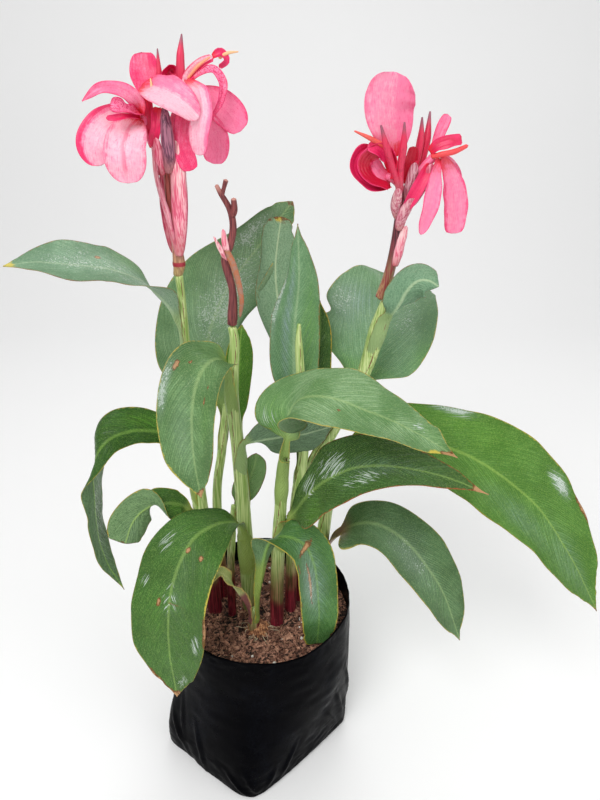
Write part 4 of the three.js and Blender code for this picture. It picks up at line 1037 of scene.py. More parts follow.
SHOOTS = {
    "shoot_left": dict(
        points=[(-53, 5, 138), (-56, 8, 224), (-62, 12, 309), (-64, 14, 398), (-62, 12, 478),
            (-61, 8, 523), (-61, 5, 546)],
        radii=[8, 8.2, 7.6, 6.2, 4.2, 3.3, 3.4],
    ),
    "shoot_spent": dict(
        points=[(-13, 10, 138), (-14, 8, 224), (-15, 6, 294), (-17, 4, 369), (-20, 2, 431), (-15, 0, 483),
            (-16, -1, 500)],
        radii=[8.5, 8.5, 7.5, 6.8, 6.2, 4.4, 3.6],
    ),
    "shoot_front": dict(
        points=[(18, -12, 138), (21, -10, 240), (25, -8, 311), (28, -5, 350), (30, -8, 374)],
        radii=[7.5, 7.2, 6.2, 5.8, 5],
    ),
    "shoot_right": dict(
        points=[(43, 25, 138), (48, 25, 253), (58, 24, 333), (81, 24, 387), (105, 20, 441),
            (117, 14, 492), (124, 9, 520)],
        radii=[8.5, 8, 7.2, 6.6, 6, 8.2, 6.4],
    ),
    "shoot_side": dict(
        points=[(67, 30, 138), (70, 30, 227), (76, 32, 288), (82, 34, 339)], radii=[8, 7.5, 6.5, 4.8],
    ),
    "shoot_thin": dict(
        points=[(-33, 0, 138), (-33, 10, 210), (-30, 16, 255), (-27, 20, 290)], radii=[4.6, 4.4, 4, 2.8],
    ),
    "shoot_low": dict(points=[(-6, -22, 140), (-6, -23, 162), (-5, -24, 184)], radii=[6.4, 6, 3.6]),
    "shoot_furled": dict(
        points=[(33, 6, 138), (37, 10, 249), (42, 13, 314), (49, 15, 362), (47, 16, 418), (44, 15, 472),
            (44, 14, 498)],
        radii=[6.6, 6.2, 5.6, 5, 4.4, 3.8, 1.6],
    ),
    "shoot_back": dict(
        points=[(-46, 30, 138), (-47, 32, 282), (-38, 34, 351), (-30, 34, 405)],
        radii=[5.5, 5.2, 4.6, 3.6],
    ),
}

# Skins of the leaves: colours of the upper face, its deeper patches, the under side, the
# midrib, the stalk and the dry margin.
SKINS = {
    "waxy grey": dict(
        upper=(140, 180, 144), deep=(78, 124, 86), under=(146, 170, 138), rib=(190, 212, 168),
        stalk=(150, 176, 116), margin=(150, 118, 62), width=0.5, sheen=0.1,
    ),
    "grey green": dict(
        upper=(116, 158, 104), deep=(56, 102, 50), under=(140, 166, 126), rib=(182, 208, 140),
        stalk=(150, 176, 100), margin=(196, 176, 84), width=0.5, sheen=0.3,
    ),
    "deep green": dict(
        upper=(30, 90, 32), deep=(10, 54, 16), under=(122, 152, 112), rib=(150, 192, 88),
        stalk=(152, 176, 88), margin=(190, 168, 66), width=0.4, sheen=0.5,
    ),
    "mid green": dict(
        upper=(60, 114, 46), deep=(26, 74, 24), under=(132, 162, 116), rib=(170, 204, 110),
        stalk=(160, 182, 98), margin=(206, 172, 62), width=0.6, sheen=0.5,
    ),
    "bright green": dict(
        upper=(86, 142, 52), deep=(44, 100, 28), under=(140, 176, 104), rib=(178, 212, 104),
        stalk=(166, 190, 98), margin=(176, 160, 66), width=0.5, sheen=0.4,
    ),
    "withered": dict(
        upper=(196, 204, 130), deep=(154, 168, 92), under=(186, 190, 128), rib=(210, 210, 156),
        stalk=(150, 96, 92), margin=(214, 186, 110), width=1.2, sheen=0,
    ),
}

# The course of each leaf, then its skin, what time has done to it and the light painted on it. A mark
# is share along, place across, reach along and across, strength: wax, which in places stands for
# painted sheen, and painted glints, yellow and brown patches, fresh, dark and bluish patches. Dark
# patches are deeper green, and painted shade where a leaf folds or lies under others; bluish ones are
# grey-blue wax with painted sheen.
LEAVES = {
    "leaf_left_top": dict(
        shoot="shoot_left", clasp=(440, 492), side=184, petiole=16, half=28, widest=0.52, full=1.05,
        bend=(24, 10), wave=(2, 2), sides=(0.86, 1),
        spine=[(-71, 0, 518), (-85, -8, 539), (-106, -15, 553), (-134, -25, 561), (-164, -33, 566),
            (-190, -42, 565)],
        face=[(0.5, 0.9, 0.2), (0, -0.5, 1), (0, -0.5, 1)], skin="waxy grey", wax=0.4, tip=0.3,
        waxy=[(0.6, 0.2, 0.3, 0.6, 0.3), (0.3, -0.4, 0.15, 0.4, 0.3)],
        fresh=[(0.36, 1, 0.13, 0.6, 0.9), (0.2, -0.2, 0.1, 0.5, 0.5)],
        brown=[(0.54, 0.45, 0.022, 0.06, 1.1), (0.6, -1, 0.4, 0.05, 0.5)],
        yellow=[(0.99, 0, 0.05, 2, 0.9)],
    ),
    "leaf_back_left": dict(
        shoot="shoot_back", clasp=(346, 390), side=112, petiole=12, half=49, widest=0.38, bend=(12, 20),
        wave=(3, 2), sides=(1.14, 1), point=0.08,
        spine=[(-38, 46, 403), (-50, 58, 427), (-49, 70, 467), (-28, 80, 513), (3, 88, 553),
            (38, 93, 596)],
        face=[(0, -1, 0.4), (0, -1, 0.5), (0.2, -1, 0.5)], rolls=[(1, 0.62, 0.9, 0.66, 150)],
        tears=[(1, 0.4, 0.2, 0.42), (-1, 0.8, 0.2, 0.36)], skin="grey green", wax=0.35,
        look=dict(upper=(136, 176, 128), deep=(72, 120, 70)),
        waxy=[(0.5, 0.1, 0.3, 0.6, 0.5), (0.8, -0.4, 0.15, 0.4, 0.5)],
        fresh=[(0.8, 0, 0.15, 0.7, 0.5), (0.2, 0.7, 0.15, 0.4, 0.3)],
    ),
    "leaf_spent_drape": dict(
        shoot="shoot_spent", clasp=(408, 456), side=214, petiole=8, half=28, widest=0.42, bend=(18, 34),
        wave=(1, 2), sides=(0.76, 1.1), opening=0.16, shoulder=0.06,
        spine=[(-24, -10, 470), (-29, -24, 478), (-36, -40, 478), (-42, -53, 468), (-46, -60, 450),
            (-48, -63, 424), (-48, -62, 394), (-46, -57, 354)],
        face=[(0.3, -0.3, 1), (0, -0.8, 0.8), (-0.1, -1, 0.4), (-0.05, -1, 0.2), (0, -1, 0.1)],
        skin="grey green", wax=0.25, tip=1,
        waxy=[(0.39, 0.88, 0.1, 0.14, 0.9), (0.6, 0.3, 0.25, 0.4, 0.3)],
        brown=[(0.30, 0.75, 0.022, 0.07, 1.2), (0.26, 0.45, 0.012, 0.05, 1),
            (0.34, -0.5, 0.03, 0.03, 0.8), (0.42, -0.45, 0.03, 0.05, 0.9), (0.97, -0.6, 0.05, 0.8, 0.9),
            (0.78, -1, 0.16, 0.12, 0.6)],
        dark=[(0.7, -0.7, 0.2, 0.25, 0.6), (0.3, -0.85, 0.1, 0.2, 0.6)],
        fresh=[(0.55, -0.6, 0.2, 0.3, 0.5)], yellow=[(0.86, 1, 0.2, 0.1, 0.8), (0.6, 1, 0.3, 0.05, 0.6)],
    ),
    "leaf_back_slip": dict(
        shoot="shoot_spent", clasp=(292, 326), side=88, petiole=60, half=14, widest=0.6, full=0.9,
        bend=(24, 24),
        spine=[(-17, 21, 346), (-18, 27, 380), (-18, 31, 420), (-15, 34, 456), (-11, 36, 490)],
        face=[(0, -1, 0), (0.2, -1, 0), (0.2, -1, 0.2)], skin="bright green",
    ),
    "leaf_left_arch": dict(
        shoot="shoot_left", clasp=(292, 338), side=190, petiole=16, half=23, widest=0.42, full=1.1,
        bend=(24, 10), wave=(2, 2), sides=(0.66, 1.16), twist=-0.1,
        spine=[(-79, 8, 368), (-91, 6, 386), (-105, 0, 393), (-119, -7, 396), (-134, -16, 394),
            (-144, -24, 386), (-150, -30, 372), (-155, -32, 346), (-158, -34, 299), (-155, -34, 261),
            (-140, -35, 222)],
        face=[(0.3, -0.9, 1), (0.2, -0.9, 1), (0.1, -0.9, 1), (0, -0.9, 1), (-0.2, -0.9, 1),
            (-1, 0.1, 0.1), (-1, 0.1, 0), (-1, 0.1, 0), (-1, 0.15, 0), (-1, 0.2, 0), (-1, 0.3, 0),
            (-1, 0.4, 0)],
        skin="deep green", fresh=[(0.2, 0.5, 0.12, 0.4, 0.7)], waxy=[(0.75, 0, 0.2, 0.6, 0.3)],
    ),
    "leaf_left_curl": dict(
        shoot="shoot_left", clasp=(226, 270), side=204, petiole=32, half=23, widest=0.66, full=0.6,
        bend=(20, 16), sides=(1, 0.8), twist=0.1, point=0,
        spine=[(-74, -2, 302), (-83, -8, 312), (-93, -14, 317), (-104, -20, 319), (-115, -26, 314),
            (-124, -31, 302), (-131, -35, 283)],
        face=[(0.3, -0.6, 1), (0.2, -0.7, 1), (0.1, -0.8, 1), (0, -0.6, 1), (-0.5, 1, 0.2), (-0.5, 1, 0),
            (-0.4, 1, -0.1), (-0.4, 1, -0.2), (-0.4, 1, -0.2)],
        # The dark band across the middle, where the blade folds over, is painted shade.
        skin="mid green", fresh=[(0.2, -0.3, 0.12, 0.6, 0.8)], dark=[(0.5, 0, 0.05, 1, 0.5)],
        waxy=[(0.85, 0.2, 0.2, 0.6, 0.3)],
    ),
    "leaf_front_left": dict(
        shoot="shoot_spent", clasp=(206, 258), side=262, petiole=20, half=38, widest=0.52, bend=(18, 24),
        wave=(3, 2), sides=(1.16, 1),
        spine=[(-17, -10, 284), (-24, -24, 301), (-41, -41, 309), (-60, -59, 303), (-76, -78, 270),
            (-83, -92, 216), (-80, -99, 140)],
        face=[(0.1, 0.1, 1), (-0.2, -0.6, 1), (-0.4, -1, 0.7), (-0.3, -1, 0.3), (-0.2, -1, -0.05)],
        tears=[(-1, 0.12, 0.1, 0.5), (1, 0.2, 0.12, 0.3)], skin="mid green", tip=0.9,
        look=dict(margin=(150, 140, 56), width=0.4),
        brown=[(0.35, -0.05, 0.014, 0.06, 1.1), (0.35, -0.45, 0.014, 0.06, 1.1),
            (0.57, 0.3, 0.02, 0.06, 1), (0.56, -0.15, 0.006, 0.5, 0.6), (0.9, 1, 0.08, 0.2, 0.8),
            (0.62, -0.98, 0.1, 0.07, 0.9)],
        yellow=[(0.5, -1, 0.2, 0.05, 0.8), (0.8, 1, 0.15, 0.05, 0.6)],
        painted_glints=[(0.36, 0.6, 0.03, 0.12, 1), (0.51, 0.75, 0.02, 0.08, 0.9), (0.71, -0.75, 0.04, 0.12, 0.8),
            (0.91, -0.5, 0.03, 0.3, 0.7), (0.55, 0, 0.06, 0.2, 0.5)],
        waxy=[(0.5, -0.2, 0.2, 0.4, 0.25)], dark=[(0.2, 0.4, 0.1, 0.6, 0.5), (0.8, 0.5, 0.15, 0.4, 0.4)],
        fresh=[(0.65, 0.4, 0.15, 0.4, 0.4)],
    ),
    "leaf_front_small": dict(
        shoot="shoot_low", clasp=(164, 178), side=352, petiole=68, half=23, widest=0.55, full=0.6,
        bend=(16, 24), wave=(1.5, 1), point=0, stalk=7.5,
        spine=[(1, -27, 205), (5, -31, 242), (11, -36, 277), (19, -40, 293), (35, -44, 298),
            (51, -46, 288), (60, -46, 260), (64, -46, 218), (65, -47, 188), (63, -48, 158)],
        face=[(-0.35, 0.9, 0.3), (0.6, -1, 0.5), (0.2, -1, 0)], skin="deep green", wax=0.2, tip=0.3,
        look=dict(upper=(88, 136, 84), deep=(42, 90, 44), margin=(214, 188, 72), width=0.7),
        brown=[(0.4, 0.1, 0.017, 0.6, 0.92), (0.6, 0.36, 0.15, 0.07, 1.1), (0.46, 0.86, 0.05, 0.04, 0.9),
            (0.7, 0.9, 0.06, 0.04, 0.8)],
        # The bluish patch is wax with painted sheen.
        waxy=[(0.6, 0.4, 0.15, 0.4, 0.5)], blue=[(0.6, 0.2, 0.3, 0.8, 0.75)],
        fresh=[(0.2, 0.3, 0.1, 0.5, 0.6)], painted_glints=[(0.68, 0.3, 0.06, 0.15, 0.6)],
    ),
    "leaf_low_right": dict(
        shoot="shoot_side", clasp=(178, 222), side=318, petiole=46, half=30.5, widest=0.45, bend=(20, 18),
        wave=(2, 2), opening=0.16, shoulder=0.1,
        spine=[(82, 20, 243), (98, 8, 270), (117, -6, 286), (139, -18, 286), (165, -30, 266),
            (193, -41, 225), (216, -50, 165)],
        face=[(0.1, -0.5, 1), (0.3, -0.8, 0.8), (0.7, -0.8, 0.2)], tears=[(1, 0.07, 0.07, -1)],
        skin="grey green", wax=0.3,
        look=dict(upper=(94, 136, 90), deep=(40, 82, 42), stalk=(150, 118, 98)),
        waxy=[(0.45, 0.3, 0.2, 0.5, 0.4)],
        dark=[(0.06, 0.85, 0.06, 0.3, 0.9), (0.08, 0, 0.1, 1, 0.7), (0.25, 0.7, 0.12, 0.3, 0.5)],
        blue=[(0.4, -0.5, 0.2, 0.4, 0.3)],
    ),
    "leaf_mid_right": dict(
        shoot="shoot_front", clasp=(310, 344), side=262, petiole=60, half=36, widest=0.34, full=1.05,
        bend=(14, 20), wave=(2, 3), opening=0.14, shoulder=0.04,
        spine=[(29, -20, 372), (33, -31, 406), (37, -42, 438), (50, -54, 455), (76, -66, 459),
            (106, -78, 452), (140, -87, 439), (174, -94, 420)],
        face=[(0, -1, 0.2), (0, -0.6, 1), (0, -0.35, 1), (0.1, -0.4, 1), (0.2, -0.4, 1), (0.2, -0.4, 1),
            (0.2, -0.4, 1)],
        rolls=[(-1, 0.9, 1, 0.2, 60)], tears=[(1, 0.1, 0.1, 0.6), (-1, 0.03, 0.055, 0.8)],
        skin="grey green", wax=0.15, tip=1, look=dict(upper=(150, 184, 140), deep=(74, 122, 68)),
        painted_glints=[(0.81, -0.4, 0.03, 0.25, 0.9), (0.12, -0.6, 0.03, 0.2, 0.7)],
        brown=[(0.49, 0.35, 0.01, 0.05, 0.8), (0.95, 0.8, 0.03, 0.5, 1)], yellow=[(0.9, 1, 0.03, 0.4, 1)],
        dark=[(0.1, 0.5, 0.08, 0.5, 0.6), (0.55, -0.9, 0.2, 0.15, 0.4)],
        fresh=[(0.1, -0.4, 0.1, 0.7, 0.9), (0.9, -0.5, 0.1, 0.5, 0.5)],
    ),
    "leaf_mid_lower": dict(
        shoot="shoot_front", clasp=(250, 292), side=320, petiole=12, half=34, widest=0.3, full=1.2,
        bend=(16, 22), wave=(2, 3),
        spine=[(40, -24, 314), (52, -38, 342), (68, -51, 368), (90, -61, 388), (117, -70, 397),
            (149, -78, 397), (177, -86, 392), (205, -93, 383)],
        face=[(-0.2, -0.8, 1), (0, -0.6, 1), (0.1, -0.3, 1)],
        tears=[(1, 0.03, 0.07, 0.5), (-1, 0.12, 0.17, 0.72)], skin="mid green", tip=1,
        look=dict(upper=(66, 112, 60), deep=(20, 64, 20), margin=(170, 88, 50)),
        painted_glints=[(0.39, -0.35, 0.06, 0.3, 1), (0.53, 0.4, 0.08, 0.2, 1), (0.25, -0.2, 0.05, 0.3, 0.7)],
        fresh=[(0.24, 0.9, 0.1, 0.7, 1)], dark=[(0.4, 0.5, 0.15, 0.4, 0.5)],
        brown=[(0.97, 0, 0.04, 2, 0.9)], blue=[(0.6, 0, 0.25, 0.5, 0.4)],
    ),
    "leaf_big_right": dict(
        shoot="shoot_side", clasp=(284, 328), side=340, petiole=26, half=47, widest=0.45, full=1.1,
        bend=(28, 10), wave=(3, 4), sides=(1.06, 1),
        spine=[(99, 27, 356), (118, 20, 374), (149, 6, 385), (187, -9, 381), (232, -24, 363),
            (276, -38, 328), (314, -50, 276), (347, -60, 217)],
        face=[(-0.1, -0.5, 1), (0.25, -0.7, 0.9), (0.6, -0.7, 0.4)], tears=[(-1, 0.2, 0.13, 0.15)],
        skin="bright green", look=dict(upper=(92, 144, 66), deep=(44, 100, 28)),
        # These wax patches lie on the glints: painted sheen.
        waxy=[(0.3, -0.92, 0.05, 0.12, 1), (0.63, -0.78, 0.04, 0.12, 1.1)],
        painted_glints=[(0.3, -0.92, 0.05, 0.15, 0.8), (0.63, -0.78, 0.04, 0.12, 1)],
        fresh=[(0.35, -0.6, 0.15, 0.5, 0.6), (0.7, 0.2, 0.12, 0.8, 0.5)],
        brown=[(0.72, -1, 0.05, 0.08, 1)], blue=[(0.6, 0.5, 0.2, 0.4, 0.5), (0.8, 0.2, 0.2, 0.7, 0.5)],
        yellow=[(0.5, -1, 0.3, 0.04, 0.6)],
    ),
    "leaf_upright": dict(
        shoot="shoot_furled", clasp=(366, 404), side=120, petiole=4, half=25, widest=0.35, full=1.1,
        bend=(26, 26), spine=[(40, 25, 424), (39, 28, 452), (40, 30, 492), (44, 29, 535), (43, 27, 586)],
        face=[(0.2, -1, 0), (0.1, -1, 0), (0, -1, 0)], rolls=[(-1, 0.55, 0.9, 0.5, -60)],
        tears=[(-1, 0.78, 0.14, 0.36)], skin="waxy grey", wax=0.2,
        look=dict(upper=(122, 164, 122), deep=(80, 128, 84)), blue=[(0.5, -0.35, 0.4, 0.22, 0.9)],
        fresh=[(0.4, 0.6, 0.4, 0.45, 1)], waxy=[(0.6, -0.9, 0.2, 0.15, 0.8)],
    ),
    "leaf_upright_back": dict(
        shoot="shoot_furled", clasp=(318, 350), side=115, petiole=40, half=25, widest=0.62, full=0.8,
        bend=(-14, -22), sides=(0.8, 1), point=0,
        spine=[(42, 30, 376), (37, 40, 410), (31, 54, 455), (24, 66, 498), (21, 73, 538), (27, 78, 584)],
        face=[(0, 1, 0.2), (0, 1, 0.1), (0, 1, 0.6)], tears=[(1, 0.28, 0.24, 0.6), (1, 0.8, 0.12, 0.35)],
        skin="waxy grey", look=dict(under=(146, 178, 142), deep=(92, 128, 92), rib=(206, 226, 180)),
        dark=[(0.95, 0.4, 0.1, 0.5, 0.6), (0.5, -0.7, 0.5, 0.3, 0.6)],
        yellow=[(0.99, 0.2, 0.02, 0.5, 0.8)],
    ),
    "leaf_round_back": dict(
        shoot="shoot_right", clasp=(374, 420), side=96, petiole=12, half=53, full=0.6, bend=(12, 14),
        wave=(4, 3), sides=(1.2, 1.04), point=0,
        spine=[(101, 38, 430), (110, 48, 447), (121, 58, 469), (132, 69, 489), (143, 82, 502),
            (152, 97, 508), (160, 116, 509)],
        face=[(-0.1, -1, 0.4), (0, -0.8, 0.8), (0.1, -0.4, 1)],
        tears=[(-1, 0.42, 0.05, 0.2), (1, 0.86, 0.2, 0.2)], skin="grey green", wax=0.35,
        look=dict(upper=(126, 166, 130), deep=(70, 118, 76)),
        waxy=[(0.5, -0.75, 0.15, 0.35, 0.35), (0.6, 0.3, 0.2, 0.5, 0.3)],
        fresh=[(0.1, 0, 0.1, 1.2, 0.9), (0.35, 1, 0.2, 0.3, 0.7), (0.2, -0.9, 0.1, 0.4, 0.8)],
        blue=[(0.55, -0.5, 0.25, 0.5, 0.6)],
    ),
    "leaf_cap_right": dict(
        shoot="shoot_right", clasp=(466, 504), side=300, petiole=8, half=17, full=0.55, bend=(30, 44),
        spine=[(131, -5, 521), (137, -9, 536), (145, -12, 545), (154, -14, 546), (163, -14, 541)],
        face=[(-0.6, 0.7, 0.5), (-0.1, 1, -0.2), (0.3, 0.9, -0.4)], skin="waxy grey", wax=0.3,
        # The bluish patch is wax with painted sheen.
        look=dict(under=(122, 158, 124), deep=(70, 114, 80)), blue=[(0.7, 0.3, 0.25, 0.6, 0.8)],
    ),
    "leaf_under": dict(
        shoot="shoot_spent", clasp=(340, 374), side=338, petiole=8, half=30, widest=0.45, full=0.6,
        bend=(10, 10), wave=(1, 2), opening=0.2,
        spine=[(-5, 0, 380), (8, -2, 384), (27, -1, 387), (50, 0, 391), (76, 2, 397)],
        face=[(-0.3, 0.8, 0.6), (0, 1, 0.3), (0, 1, 0.3)], skin="waxy grey",
        look=dict(under=(118, 146, 112), deep=(54, 74, 56)),
        dark=[(0.3, -0.6, 0.3, 0.2, 0.7), (0.6, 0.2, 0.3, 0.2, 0.6)],
    ),
    "leaf_stub": dict(
        shoot="shoot_thin", clasp=(258, 282), side=20, petiole=8, half=15, full=0.65, bend=(20, 20),
        point=0.1, spine=[(-18, 24, 300), (-10, 25, 318), (-3, 26, 338), (-1, 26, 352)],
        face=[(0, -1, 0), (0.1, -1, 0.1), (0.1, -1, 0.3)], skin="grey green",
        look=dict(upper=(150, 184, 132), deep=(112, 152, 96), margin=(150, 76, 54)),
    ),
    "leaf_withered": dict(
        shoot="shoot_low", clasp=(162, 175), side=186, petiole=34, half=8, full=0.8, bend=(40, 40),
        wave=(0.5, 0.5), stalk=7,
        spine=[(-14, -27, 195), (-21, -31, 216), (-29, -36, 237), (-37, -41, 250), (-43, -46, 249),
            (-48, -49, 237)],
        face=[(0.35, 0.9, 0.3), (0, -0.4, 1), (-0.5, -0.5, 1)], skin="withered",
    ),
    "leaf_back_right": dict(
        shoot="shoot_right", clasp=(322, 358), side=118, petiole=20, half=14, bend=(22, 22),
        spine=[(63, 35, 378), (63, 40, 412), (63, 43, 450), (65, 44, 484), (64, 43, 512)],
        face=[(0, -1, 0.2), (-0.1, -1, 0.2), (-0.2, -1, 0.2)], skin="mid green",
        look=dict(upper=(128, 158, 120)),
    ),
}

FLOWER_STALKS = {
    "flower_stalk_left": dict(
        finish="olive stalk",
        stems=[
            dict(points=[(-62, 5, 546), (-60, 5, 556), (-61, 5, 576), (-63, 5, 601), (-63, 5, 625),
                (-60, 5, 647), (-53, 5, 670), (-47, 5, 689), (-46, 5, 702), (-45, 5, 714), (-43, 5, 727)],
                radii=[3.9, 5.4, 3.8, 3.2, 3, 2.6, 2.4, 2.8, 3.5, 2.9, 0.5], bud=0.74, rings=[556]),
            dict(points=[(-60, 9, 665), (-62, 9, 683), (-63, 9, 701), (-63, 10, 718)],
                radii=[1.8, 1.9, 2.3, 0.4], bud=0.25),
        ],
        bracts=[
            dict(spine=[(-62, 2, 564), (-66, -3, 596), (-71, -5, 624), (-72, -3, 651)], half=8,
                inward=(1, 0.4, 0), rose=0.6, pale=0.5),
            dict(spine=[(-58, 4, 562), (-52, 2, 592), (-48, 0, 621), (-47, 1, 649)], half=7.6,
                inward=(-1, 0.2, 0), rose=0.45),
            dict(spine=[(-58, -3, 564), (-54, -8, 597), (-52, -10, 625), (-52, -9, 655)], half=7.4,
                inward=(0, 1, 0), rose=0.6, pale=1),
            dict(spine=[(-59, -10, 631), (-57, -13, 647), (-57, -14, 662), (-58, -10, 678)], half=5.6,
                inward=(0, 1, 0), dark=1),
            dict(spine=[(-62, 8, 564), (-64, 12, 595), (-64, 14, 624), (-61, 14, 648)], half=9,
                inward=(0, -1, 0), rose=0.6),
            dict(spine=[(-29, 9, 672), (-30, 10, 685), (-35, 9, 696)], half=3.4, inward=(0, 1, 0),
                dark=0.9),
            dict(spine=[(-66, -6, 629), (-67, -9, 642), (-67, -8, 657)], half=5, inward=(0.3, 1, 0),
                rose=1),
        ],
    ),
    "flower_stalk_right": dict(
        finish="maroon stalk",
        stems=[
            dict(points=[(117, 8, 525), (122, 8, 541), (125, 7, 557), (127, 5, 576), (128, 4, 594),
                (129, 4, 608)], radii=[4.8, 4.6, 4.4, 4.2, 3.8, 2.2]),
            dict(points=[(127, 1, 604), (124, -7, 620), (118, -13, 634), (111, -21, 650),
                (105, -26, 666)], radii=[1.8, 2.4, 2.8, 2.9, 0.6], bud=0.2),
            dict(points=[(129, 1, 604), (126, -6, 620), (124, -11, 635), (124, -18, 651),
                (123, -22, 668)], radii=[1.8, 2.4, 2.8, 3, 0.6], bud=0.2),
            dict(points=[(131, 5, 606), (136, 6, 625), (139, 5, 640), (141, 5, 655), (141, 6, 671)],
                radii=[2.4, 3.2, 3.2, 3, 0.6], bud=0.1),
            dict(points=[(132, 7, 608), (140, 8, 627), (144, 9, 640), (147, 10, 656), (148, 12, 675)],
                radii=[2.4, 3.2, 3.3, 3.2, 0.7], bud=0.1),
        ],
        bracts=[
            dict(spine=[(126, 0, 594), (123, -5, 606), (124, -10, 620)], half=5, inward=(0.4, 1, 0),
                pale=0.6, dark=0.3),
            dict(spine=[(129, -1, 585), (131, -6, 598), (137, -9, 612)], half=6.4, inward=(-0.5, 1, 0),
                pale=0.3, dark=0.3),
            dict(spine=[(128, 3, 554), (131, 1, 571), (134, 0, 589)], half=5, inward=(-0.4, 1, 0),
                rose=0.4, pale=0.9),
            dict(spine=[(131, -2, 610), (134, -6, 624), (136, -8, 639)], half=4.6, inward=(0, 1, 0),
                pale=0.4, dark=0.5),
            dict(spine=[(136, -3, 606), (144, -6, 622), (150, -6, 638)], half=4.8, inward=(0, 1, 0),
                rose=0.9, dark=0.25),
        ],
    ),
    "flower_stalk_spent": dict(
        finish="spent stalk",
        stems=[
            dict(points=[(-16, -1, 503.2), (-15, -2, 512), (-14, -2, 535), (-19, -1, 560), (-14, 0, 574),
                (-11, 0, 588), (-13, 0, 602), (-20, 0, 615), (-23, 0, 621)],
                radii=[4.2, 4.6, 3.2, 3.6, 3.1, 3, 2.6, 2.1, 1.6], bud=0),
            dict(points=[(-19, 0, 613), (-17, 0, 619), (-15, 0, 625)], radii=[1.8, 1.6, 2], bud=0),
            dict(points=[(-12, 0, 594), (-9, -3, 602), (-9, -4, 611)], radii=[1.8, 2.8, 2.2], bud=0),
        ],
        bracts=[
            dict(spine=[(-19, -3, 560), (-23, -5, 570), (-27, -5, 581)], half=3, inward=(1, 1, 0),
                pale=1),
            dict(spine=[(-17, -3, 564), (-18, -5, 575), (-19, -5, 587)], half=2.8, inward=(0, 1, 0),
                pale=1),
            dict(spine=[(-18, -4, 570), (-11, -7, 555), (-6, -8, 529), (-8, -6, 511)], half=2.4,
                inward=(0, 1, 0), dry=True),
        ],
    ),
}

